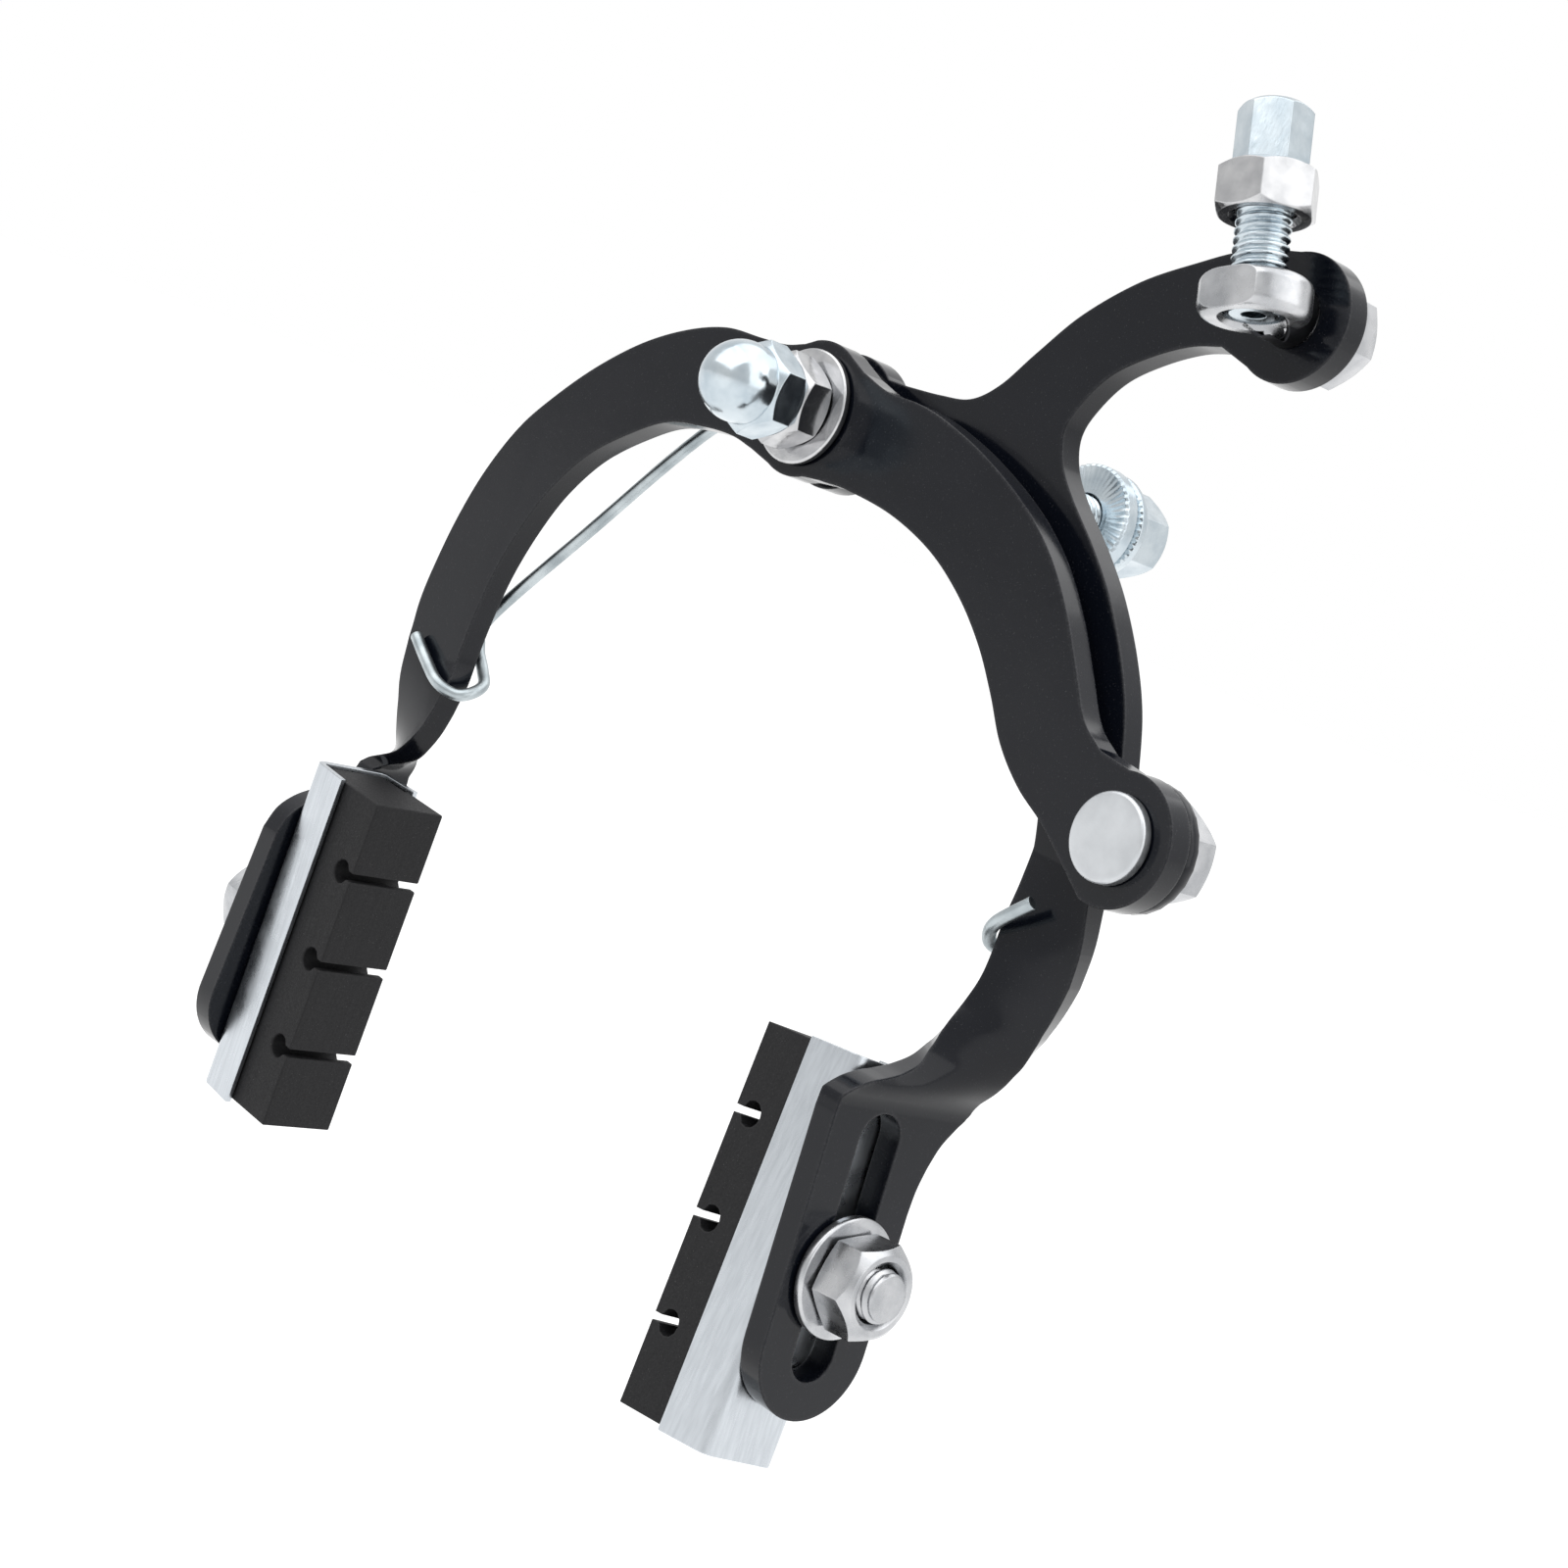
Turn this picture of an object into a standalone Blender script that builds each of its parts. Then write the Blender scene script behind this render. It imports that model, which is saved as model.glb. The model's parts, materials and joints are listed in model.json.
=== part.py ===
"""Side-pull caliper brake of a bicycle, shown unmounted, with its shoes turned along the arms.

The centre bolt lies on the Y axis with its acorn nut at the front (-Y), X runs across the wheel and
Z is up. The plane y = 0 is the rear face of the front arm. Sizes are in millimetres and degrees, and
MM turns a length to metres.

The piece that takes the most skill is the arm: one flat bar with its outline, slot and rounded edges,
whose lower limb is then twisted a quarter turn so that the slotted end faces the rim.
"""
import math

import bmesh
import bpy
from mathutils import Matrix, Vector

MM = 0.001

# Fits: the gap between two faces that touch, and the gap round a shank in its hole
SEAT = 0.25
FIT = 0.3

# M6 hardware
THREAD_R = 3.0
NUT_ACROSS_FLATS = 10.0
NUT_CORNER_R = NUT_ACROSS_FLATS / 2 / math.cos(math.pi / 6)
NUT_CHAMFER = 0.7
WASHER_R = 7.0
BORE_R = THREAD_R + FIT
TURN_STEPS = 24

# Arm bars
ARM_THICKNESS = 3.2
ARM_EDGE = 0.9
PIVOT_EYE_R = 8.3
THRUST_WASHER_THICKNESS = 0.9
THRUST_WASHER_COUNT = 2
ARM_GAP = THRUST_WASHER_COUNT * (THRUST_WASHER_THICKNESS + SEAT) + SEAT
FRONT_ARM_FACE = -ARM_THICKNESS
FRONT_ARM_MIDDLE = -ARM_THICKNESS / 2
REAR_ARM_FACE = ARM_GAP
REAR_ARM_MIDDLE = ARM_GAP + ARM_THICKNESS / 2
REAR_ARM_BACK = ARM_GAP + ARM_THICKNESS

# Slotted ends of the arms
SLOT_WIDTH = 2 * BORE_R - 0.4
SLOT_SIDE_BAR = 4.9
SLOT_END_BAR = 4.4
PLATE_WIDTH = SLOT_WIDTH + 2 * SLOT_SIDE_BAR
SLOT_LENGTH = 30.0
PLATE_REACH = 54.9
SLOT_Y = -7.0
PLATE_REAR_EDGE = SLOT_Y + PLATE_WIDTH / 2
FOLD_STEP = 2.0
FOLD_BOTTOM = -79.0

# Each side: the outer edge of the flat bar, the top of the slot, how far the slotted end leans
# outwards, how far down the slot the shoe's stud sits, and how far the shoe is turned about its stud
SIDES = {
    "left": {"sign": -1, "edge_x": -56.2, "edge_y": FRONT_ARM_MIDDLE, "slot_top": -71.1, "lean": 2.75,
             "stud_drop": 15.4, "turn": 2.75},
    "right": {"sign": 1, "edge_x": 63.5, "edge_y": REAR_ARM_MIDDLE, "slot_top": -67.6, "lean": 5.6,
              "stud_drop": 18.1, "turn": -6.4},
}

# The flat bar's inner edge: height, and distance from its outer edge
INNER_EDGE = {
    "left": ((-49.0, 11.2), (-52.0, 10.3), (-54.0, 9.2), (-56.0, 8.0), (-58.0, 6.6), (-60.0, 5.6),
             (-62.0, 5.3), (-64.0, 5.4), (-66.0, 6.4), (-67.6, 8.6), (-68.8, 11.0), (-70.2, 13.3),
             (-72.2, 15.1), (-75.0, 16.0)),
    "right": ((-48.0, 9.9), (-51.0, 9.55), (-55.0, 9.45), (-57.5, 8.9), (-59.6, 7.8), (-61.4, 7.4),
              (-62.7, 8.6), (-63.5, 10.6), (-64.1, 12.8), (-65.0, 14.6), (-66.4, 15.7), (-68.5, 16.0)),
}

# The flat bar's outer edge above the straight slotted end: height, and how far it flares out
OUTER_FLARE = {
    "left": ((-73.0, 0.0), (-70.5, 0.3), (-68.0, 0.8), (-66.0, 1.1), (-64.0, 0.9), (-62.0, 0.5),
             (-60.0, 0.1)),
    "right": ((-78.0, 0.0), (-75.5, 0.2), (-73.5, 0.65), (-72.0, 1.15), (-70.0, 2.05), (-68.0, 3.6),
              (-66.6, 4.8), (-65.2, 4.8), (-64.0, 4.2), (-62.0, 3.1), (-60.0, 2.0), (-58.0, 1.0),
              (-56.0, 0.3), (-54.0, 0.0)),
}

# The fold: height, twist in degrees, and the place the outer edge has moved to
FOLD = {
    "left": ((-46.0, 0.0, -56.2, -1.6), (-50.0, 4.0, -55.4, -1.6), (-52.0, 6.0, -54.75, -1.55),
             (-54.0, 9.0, -53.8, -1.45), (-56.0, 13.0, -53.0, -1.3), (-58.0, 21.0, -52.3, -0.95),
             (-60.0, 36.0, -52.0, -0.3), (-61.2, 55.0, -52.4, 0.3), (-62.4, 76.0, -53.1, 0.8),
             (-63.6, 90.0, -53.8, 1.0)),
    "right": ((-36.0, 0.0, 63.5, 4.15), (-40.0, 6.0, 63.5, 4.15), (-45.0, 14.0, 63.45, 4.15),
              (-50.0, 19.0, 62.9, 4.15), (-54.0, 25.0, 61.9, 4.15), (-56.0, 32.0, 60.95, 4.1),
              (-58.0, 40.0, 59.5, 3.85), (-60.0, 52.0, 57.5, 3.2), (-62.0, 70.0, 55.8, 2.2),
              (-64.0, 86.0, 54.4, 1.25), (-65.2, 90.0, 53.6, 1.0), (-66.6, 90.0, 53.03, 1.0)),
}

# Cable anchor at the end of the front arm
ANCHOR = (66.6, -30.9)
ANCHOR_EYE_R = 7.4
ANCHOR_HEAD_R = 4.95
ANCHOR_HEAD_HEIGHT = 1.3
ANCHOR_WASHER_R = 7.2
ANCHOR_WASHER_THICKNESS = 2.0
ANCHOR_NUT_HEIGHT = 5.0
CABLE_HOLE_R = 0.95

# Cable adjuster at the upper end of the rear arm
UPPER_EYE = (58.5, 26.5)
UPPER_EYE_R = 7.2
ADJUSTER_Y = -4.25
STUD_HEAD_RISE = -0.15
ADJUSTER_TILT = -19.0
STUD_HEAD_R = 6.0
STUD_HEAD_HEIGHT = 4.4
STUD_HEAD_CHAMFER = 1.0
STUD_HEAD_FLAT = 4.9
STUD_COLLAR_R = 4.6
STUD_NUT_HEIGHT = 5.0
BARREL_THREAD_SHOWN = 6.6
BARREL_THREAD_HIDDEN = 5.0
LOCK_NUT_HEIGHT = 5.2
BARREL_HEAD_AF = 7.0
BARREL_HEAD_HEIGHT = 6.8
BARREL_SOCKET_R = 2.5
BARREL_SOCKET_DEPTH = 5.0
BARREL_BORE_R = 1.3

# Front of the centre bolt
FRONT_WASHER_THICKNESS = 1.0
FRONT_NUT_HEIGHT = 4.2
ACORN_HEX_HEIGHT = 4.0
ACORN_DOME_R = 4.86
ACORN_NECK = 1.6
ACORN_WALL = 1.8

# Back of the centre bolt
REAR_WASHER_THICKNESS = 0.9
HOLDER_R = 6.8
HOLDER_FLANGE_LENGTH = 6.4
HOLDER_BOSS_R = 5.2
HOLDER_BOSS_LENGTH = 4.0
FORK_SPAN = 31.6
TOOTHED_WASHER_R = 7.3
TOOTHED_WASHER_THICKNESS = 3.0
TOOTH_COUNT = 24
TOOTH_DEPTH = 0.55
FLANGE_R = 7.0
FLANGE_THICKNESS = 2.2
MOUNTING_NUT_HEIGHT = 9.0
BOLT_REAR_TAIL = 2.2

# Brake shoes, measured from the stud along its own axis
SHOE_DEPTH = 14.8
SHOE_LENGTH = 44.7
RUBBER_WIDTH = 10.6
HOLDER_WALL = 0.85
HOLDER_BACK = 1.0
HOLDER_WIDTH = 11.6
HOLDER_SIDE = 6.2
HOLDER_LIP = 0.5
GROOVE_PITCH = 12.2
GROOVE_COUNT = 3
GROOVE_MOUTH = 1.5
GROOVE_R = 1.55
GROOVE_CENTRE_DEPTH = 2.5
SHOE_STUD_HEAD_R = 3.9
SHOE_STUD_HEAD_HEIGHT = 1.5
SHOE_WASHER_THICKNESS = 1.2
SHOE_NUT_HEIGHT = 5.0
SHOE_NUT_TURN = 12.0
SHOE_STUD_TAIL = 1.0
SHOE_WASHER_R = 6.9

# Return spring: its wire, its seat in the holder, and the faces of the arms its legs pass
WIRE_R = 0.8
WIRE_SEAT_Z = 5.6
HOLDER_FACE = REAR_ARM_BACK + SEAT + REAR_WASHER_THICKNESS + SEAT
WIRE_SEAT_Y = HOLDER_FACE + HOLDER_FLANGE_LENGTH / 2
BEHIND_FRONT_ARM = WIRE_R + SEAT + 0.1
BEHIND_REAR_ARM = REAR_ARM_BACK + WIRE_R + SEAT + 0.1
BEFORE_FRONT_ARM = FRONT_ARM_FACE - WIRE_R - SEAT
BEFORE_REAR_ARM = REAR_ARM_FACE - WIRE_R - SEAT
LEFT_LEG = (
    (-53.4, BEFORE_FRONT_ARM, -45.3), (-49.1, BEFORE_FRONT_ARM - 0.4, -47.6),
    (-44.9, BEFORE_FRONT_ARM - 0.9, -49.3), (-42.5, BEFORE_FRONT_ARM + 0.5, -49.9),
    (-41.6, FRONT_ARM_MIDDLE - 0.5, -49.2), (-42.4, BEHIND_FRONT_ARM - 1.0, -47.8),
    (-44.8, BEHIND_FRONT_ARM, -46.2), (-47.4, BEHIND_FRONT_ARM + 0.2, -43.6),
    (-47.8, BEHIND_FRONT_ARM + 0.6, -39.6), (-38.7, BEHIND_FRONT_ARM + 3.3, -24.7),
    (-26.5, BEHIND_FRONT_ARM + 6.9, -5.7), (-16.0, WIRE_SEAT_Y - 0.9, 1.2), (-9.5, WIRE_SEAT_Y - 0.1, 5.0),
)
SEATED_WIRE = (
    (-6.5, WIRE_SEAT_Y, WIRE_SEAT_Z), (0.0, WIRE_SEAT_Y, WIRE_SEAT_Z), (6.5, WIRE_SEAT_Y, WIRE_SEAT_Z),
)
RIGHT_LEG = (
    (9.5, WIRE_SEAT_Y, 4.9), (15.0, WIRE_SEAT_Y - 0.4, 0.8), (26.0, BEHIND_REAR_ARM + 1.4, -8.0),
    (40.0, BEHIND_REAR_ARM + 0.8, -20.5), (51.6, BEHIND_REAR_ARM + 0.3, -33.0),
    (55.4, BEHIND_REAR_ARM + 0.2, -40.5), (54.4, BEHIND_REAR_ARM - 0.5, -45.2),
    (52.9, BEHIND_REAR_ARM - 2.1, -47.2), (52.2, REAR_ARM_MIDDLE - 1.6, -47.6),
    (52.4, BEFORE_REAR_ARM - 0.9, -46.7), (54.0, BEFORE_REAR_ARM - 2.5, -44.6),
    (57.6, BEFORE_REAR_ARM - 2.3, -41.0),
)

# Finishes: colour, roughness, metallic
BLACK_PAINT = ("black_paint", (0.035, 0.037, 0.042), 0.22, 0.0)
CHROME = ("chrome_plate", (0.78, 0.78, 0.77), 0.16, 1.0)
ZINC = ("zinc_plate", (0.62, 0.70, 0.73), 0.28, 1.0)
STEEL_CHANNEL = ("steel_channel", (0.66, 0.68, 0.70), 0.34, 1.0)
RUBBER = ("brake_rubber", (0.022, 0.022, 0.023), 0.72, 0.0)

BOLT_AXIS = Matrix.Rotation(-math.pi / 2, 4, "X")
CURVE_UPRIGHT = Matrix.Rotation(math.pi / 2, 4, "X")


def clear_scene():
    for obj in list(bpy.data.objects):
        bpy.data.objects.remove(obj, do_unlink=True)


def new_collection(name):
    collection = bpy.data.collections.new(name)
    bpy.context.scene.collection.children.link(collection)
    return collection


clear_scene()
PARTS = new_collection("side_pull_caliper_brake")
CUTTERS = new_collection("cutters")


def material(finish):
    name, colour, roughness, metallic = finish
    found = bpy.data.materials.get(name)
    if found:
        return found
    made = bpy.data.materials.new(name)
    made.use_nodes = True
    shader = made.node_tree.nodes["Principled BSDF"]
    shader.inputs["Base Color"].default_value = (*colour, 1.0)
    shader.inputs["Roughness"].default_value = roughness
    shader.inputs["Metallic"].default_value = metallic
    made.diffuse_color = (*colour, 1.0)
    return made


def metres(matrix):
    """The same placing with its shift given in metres."""
    placed = matrix.copy()
    placed.translation = matrix.translation * MM
    return placed


def axis_empty(name, place, parent=None):
    """An empty on a joint's axis, which carries the pieces that move about or along it."""
    empty = bpy.data.objects.new(name, None)
    empty.empty_display_size = 8 * MM
    PARTS.objects.link(empty)
    empty.parent = parent
    empty.matrix_basis = metres(place)
    return empty


def piece(name, mesh, finish, parent, place):
    obj = bpy.data.objects.new(name, mesh)
    obj.parent = parent
    obj.matrix_basis = metres(place)
    if finish is None:
        obj.hide_render = True
        obj.display_type = "WIRE"
        CUTTERS.objects.link(obj)
    else:
        mesh.materials.clear()
        mesh.materials.append(material(finish))
        PARTS.objects.link(obj)
    return obj


def mesh_from(bm, name, smooth=True):
    mesh = bpy.data.meshes.new(name)
    bm.to_mesh(mesh)
    bm.free()
    if smooth:
        mesh.shade_smooth()
        mesh.set_sharp_from_angle(angle=math.radians(32))
    return mesh


def boolean(obj, tool, operation):
    modifier = obj.modifiers.new(tool.name, "BOOLEAN")
    modifier.object = tool
    modifier.operation = operation
    modifier.solver = "EXACT"


def turned(name, profile, finish, parent=None, place=BOLT_AXIS, steps=TURN_STEPS):
    """A shape turned about local Z from (radius, height) points; a ring's profile is closed."""
    area = sum(a[0] * b[1] - b[0] * a[1] for a, b in zip(profile, profile[1:] + profile[:1]))
    points = list(reversed(profile)) if area > 0 else list(profile)
    ring = min(radius for radius, _ in points) > 0
    if not ring:
        start = next(i for i, point in enumerate(points) if point[0] == 0 and points[i - 1][0] == 0)
        points = points[start:] + points[:start]
    bm = bmesh.new()
    verts = [bm.verts.new((radius * MM, 0, height * MM)) for radius, height in points]
    for a, b in zip(verts, verts[1:]):
        bm.edges.new((a, b))
    if ring:
        bm.edges.new((verts[-1], verts[0]))
    obj = piece(name, mesh_from(bm, name, smooth=False), finish, parent, place)
    screw = obj.modifiers.new("turn", "SCREW")
    screw.axis = "Z"
    screw.angle = 2 * math.pi
    screw.steps = steps
    screw.render_steps = steps
    screw.use_merge_vertices = True
    screw.merge_threshold = 0.00001
    screw.use_smooth_shade = True
    return obj


def prism(name, across_flats, low, high, parent=None, place=BOLT_AXIS):
    """A cutter: an upright hexagon prism about local Z."""
    radius = across_flats / 2 / math.cos(math.pi / 6) * MM
    bm = bmesh.new()
    bmesh.ops.create_cone(bm, cap_ends=True, segments=6, radius1=radius, radius2=radius,
                          depth=(high - low) * MM)
    bmesh.ops.translate(bm, verts=bm.verts, vec=(0, 0, (low + high) / 2 * MM))
    return piece(name, mesh_from(bm, name, smooth=False), None, parent, place)


def block(name, low, high, parent=None, place=Matrix()):
    """A cutter: a box between two corners."""
    size = [b - a for a, b in zip(low, high)]
    centre = [(a + b) / 2 for a, b in zip(low, high)]
    bm = bmesh.new()
    bmesh.ops.create_cube(bm, size=MM)
    bmesh.ops.scale(bm, verts=bm.verts, vec=size)
    bmesh.ops.translate(bm, verts=bm.verts, vec=Vector(centre) * MM)
    return piece(name, mesh_from(bm, name, smooth=False), None, parent, place)


def rod(name, radius, low, high, parent=None, place=BOLT_AXIS, steps=TURN_STEPS):
    """A cutter: a round bar about local Z."""
    bm = bmesh.new()
    bmesh.ops.create_cone(bm, cap_ends=True, segments=steps, radius1=radius * MM, radius2=radius * MM,
                          depth=(high - low) * MM)
    bmesh.ops.translate(bm, verts=bm.verts, vec=(0, 0, (low + high) / 2 * MM))
    return piece(name, mesh_from(bm, name, smooth=False), None, parent, place)


def washer(name, inner, outer, low, high, finish, parent=None, place=BOLT_AXIS, round_by=0.15):
    profile = [(inner, low), (outer - round_by, low), (outer, low + round_by), (outer, high - round_by),
               (outer - round_by, high), (inner, high)]
    return turned(name, profile, finish, parent, place)


def hex_nut(name, across_flats, bore, low, high, finish, parent=None, place=BOLT_AXIS, chamfers=(1, 1)):
    """A hexagon nut: a chamfered and countersunk ring, kept where it lies inside a hexagon prism."""
    corner = across_flats / 2 / math.cos(math.pi / 6) + 0.05
    flat = across_flats / 2 - 0.1
    sink = 0.45
    low_drop = NUT_CHAMFER * chamfers[0]
    high_drop = NUT_CHAMFER * chamfers[1]
    profile = [(bore + sink, low), (flat, low), (corner, low + low_drop), (corner, high - high_drop),
               (flat, high), (bore + sink, high), (bore, high - sink), (bore, low + sink)]
    nut = turned(name, profile, finish, parent, place)
    boolean(nut, prism(name + "_hexagon", across_flats, low - 1, high + 1, parent, place), "INTERSECT")
    return nut


def arc(centre, radius, start, end, steps):
    """Points of an arc from one angle to another, in degrees."""
    points = []
    for i in range(steps + 1):
        angle = math.radians(start + (end - start) * i / steps)
        points.append((centre[0] + radius * math.cos(angle), centre[1] + radius * math.sin(angle)))
    return points


def smooth(points, steps=2):
    """A curve through the points: its end points are kept, and each stretch is a Catmull-Rom span."""
    knots = [Vector(p) for p in points]
    through = [2 * knots[0] - knots[1], *knots, 2 * knots[-1] - knots[-2]]
    curve = []
    for a, b, c, d in zip(through, through[1:], through[2:], through[3:]):
        for i in range(steps):
            t = i / steps
            point = 0.5 * (2 * b + (c - a) * t + (2 * a - 5 * b + 4 * c - d) * t ** 2
                           + (3 * b - a - 3 * c + d) * t ** 3)
            curve.append(tuple(point))
    curve.append(tuple(points[-1]))
    return curve


def joined(*stretches):
    """One closed outline from stretches that follow each other, without repeated points."""
    points = []
    for point in (p for stretch in stretches for p in stretch):
        if not points or (Vector(point) - Vector(points[-1])).length > 0.15:
            points.append(point)
    if (Vector(points[0]) - Vector(points[-1])).length < 0.15:
        points.pop()
    return points


def flat_mesh(name, outlines, thickness):
    """A flat plate from closed outlines, the first its edge and the others holes, in local XY."""
    data = bpy.data.curves.new(name, "CURVE")
    data.dimensions = "2D"
    data.fill_mode = "BOTH"
    data.extrude = thickness / 2 * MM
    for outline in outlines:
        spline = data.splines.new("POLY")
        spline.points.add(len(outline) - 1)
        for point, (x, y) in zip(spline.points, outline):
            point.co = (x * MM, y * MM, 0, 1)
        spline.use_cyclic_u = True
    obj = bpy.data.objects.new(name + "_curve", data)
    CUTTERS.objects.link(obj)
    bpy.context.view_layer.update()
    evaluated = obj.evaluated_get(bpy.context.evaluated_depsgraph_get())
    mesh = bpy.data.meshes.new_from_object(evaluated)
    bpy.data.objects.remove(obj)
    bm = bmesh.new()
    bm.from_mesh(mesh)
    bpy.data.meshes.remove(mesh)
    bmesh.ops.remove_doubles(bm, verts=bm.verts, dist=0.000002)
    bmesh.ops.recalc_face_normals(bm, faces=bm.faces)
    return bm


def round_edges(bm, radius, segments=2):
    """Rounds the edges between a plate's faces and its walls."""
    edges = [e for e in bm.edges if len(e.link_faces) == 2 and e.calc_face_angle(0) > math.radians(60)]
    bmesh.ops.bevel(bm, geom=edges, offset=radius * MM, segments=segments, profile=0.5, affect="EDGES",
                    clamp_overlap=True, material=-1)


def read_table(table, height):
    """The values of a table at a height, on smooth curves through its rows."""
    if height >= table[0][0]:
        return table[0][1:]
    if height <= table[-1][0]:
        return table[-1][1:]
    index = next(i for i in range(len(table) - 1) if table[i + 1][0] <= height)
    before = table[max(index - 1, 0)]
    start, end = table[index], table[index + 1]
    after = table[min(index + 2, len(table) - 1)]
    t = (height - start[0]) / (end[0] - start[0])
    span = end[0] - start[0]
    values = []
    for k in range(1, len(start)):
        slope_in = (end[k] - before[k]) / (end[0] - before[0]) * span
        slope_out = (after[k] - start[k]) / (after[0] - start[0]) * span
        values.append((2 * t ** 3 - 3 * t ** 2 + 1) * start[k] + (t ** 3 - 2 * t ** 2 + t) * slope_in
                      + (3 * t ** 2 - 2 * t ** 3) * end[k] + (t ** 3 - t ** 2) * slope_out)
    return values


def stud_z(side):
    """The height of the shoe's stud in its slot."""
    return side["slot_top"] - side["stud_drop"]


def plate_x(side, height):
    """The middle plane of a slotted end at a height: it leans outwards about the stud."""
    slope = math.tan(math.radians(side["lean"]))
    return side["sign"] * (PLATE_REACH - slope * (height - stud_z(side)))


def folded(point, name):
    """Where a point of the flat bar lies once its limb is twisted about the outer edge."""
    side = SIDES[name]
    height = point.z / MM
    if height >= FOLD[name][0][0]:
        return point
    twist, edge_x, edge_y = read_table(FOLD[name], height)
    if height < FOLD[name][-1][0]:
        edge_x = plate_x(side, height)
    angle = side["sign"] * math.radians(twist)
    across = point.x - side["edge_x"] * MM
    through = point.y - side["edge_y"] * MM
    return Vector((edge_x * MM + across * math.cos(angle) - through * math.sin(angle),
                   edge_y * MM + across * math.sin(angle) + through * math.cos(angle), point.z))


def limb_outline(name):
    """The folded limb and slotted end as they lie in the flat bar, from the inner edge round the tip."""
    side = SIDES[name]
    outward = side["sign"]
    inner = [(side["edge_x"] - outward * width, height) for height, width in INNER_EDGE[name]]
    radius = PLATE_WIDTH / 2
    middle = (side["edge_x"] - outward * radius, side["slot_top"] - SLOT_LENGTH - SLOT_END_BAR + radius)
    if outward < 0:
        tip = arc(middle, radius, 0, -180, 12)
    else:
        tip = arc(middle, radius, 180, 360, 12)
    outer = [(side["edge_x"] + outward * flare, height) for height, flare in OUTER_FLARE[name]]
    return inner, tip, outer


def slot_outline(name):
    side = SIDES[name]
    centre_x = side["edge_x"] - side["sign"] * PLATE_WIDTH / 2
    radius = SLOT_WIDTH / 2
    top = arc((centre_x, side["slot_top"] - radius), radius, 0, 180, 10)
    bottom = arc((centre_x, side["slot_top"] - SLOT_LENGTH + radius), radius, 180, 360, 10)
    return top + bottom


def arm(name, side_name, outline, middle_y, bores, parent):
    """An arm: a flat bar with rounded edges, its limb folded, and its round holes drilled."""
    bm = flat_mesh(name, [outline, slot_outline(side_name)], ARM_THICKNESS)
    round_edges(bm, ARM_EDGE)
    bmesh.ops.transform(bm, matrix=CURVE_UPRIGHT, verts=bm.verts)
    bmesh.ops.translate(bm, verts=bm.verts, vec=(0, middle_y * MM, 0))
    height = FOLD[side_name][0][0]
    while height > FOLD_BOTTOM:
        geometry = list(bm.verts) + list(bm.edges) + list(bm.faces)
        bmesh.ops.bisect_plane(bm, geom=geometry, dist=0.000001, plane_co=(0, 0, height * MM),
                               plane_no=(0, 0, 1))
        height -= FOLD_STEP
    for vert in bm.verts:
        vert.co = folded(vert.co, side_name)
    obj = piece(name, mesh_from(bm, name), BLACK_PAINT, parent, Matrix())
    for label, (x, z), radius in bores:
        place = Matrix.Translation((x, 0, z)) @ BOLT_AXIS
        low = middle_y - ARM_THICKNESS
        high = middle_y + ARM_THICKNESS
        boolean(obj, rod(f"{name}_{label}", radius, low, high, parent, place), "DIFFERENCE")
    return obj


def front_arm_outline():
    inner_limb, tip, outer_limb = limb_outline("left")
    edge_x = SIDES["left"]["edge_x"]
    right_top = smooth([(6.7, 6.1), (11.6, 4.9), (16.7, 4.8), (21.8, 4.0), (28.9, 2.0), (37.0, -1.4),
                        (43.5, -5.5), (48.9, -10.7), (53.2, -16.1), (56.8, -20.7), (60.4, -23.0)])
    anchor_eye = arc(ANCHOR, ANCHOR_EYE_R, 102, -103, 12)
    right_bottom = smooth([(61.8, -36.0), (56.8, -32.8), (51.6, -30.2), (47.0, -26.7), (43.1, -22.2),
                           (38.8, -17.8), (33.4, -13.7), (26.9, -10.3), (19.1, -8.1), (11.0, -7.3),
                           (6.0, -7.4)])
    left_bottom = smooth([(-6.8, -6.8), (-10.8, -6.2), (-15.9, -6.4), (-22.7, -7.5), (-28.9, -10.7),
                          (-34.9, -15.1), (-39.4, -20.7), (-42.2, -26.6), (-44.1, -33.0), (-44.9, -39.2),
                          (-45.1, -45.0), inner_limb[0]])
    left_top = smooth([(edge_x, -54.0), (edge_x, -46.0), (-56.7, -41.0), (-56.4, -36.0), (-55.3, -29.0),
                       (-53.2, -21.9), (-49.8, -15.2), (-45.4, -10.0), (-39.4, -4.4), (-32.5, 0.5),
                       (-25.4, 3.9), (-18.6, 5.8), (-12.1, 6.0), (-7.6, 6.2), (-4.4, 7.0)])
    return joined(arc((0, 0), PIVOT_EYE_R, 108, 62, 4), right_top, anchor_eye, right_bottom,
                  arc((0, 0), PIVOT_EYE_R, -68, -112, 4), left_bottom, inner_limb, tip, outer_limb, left_top)


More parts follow.
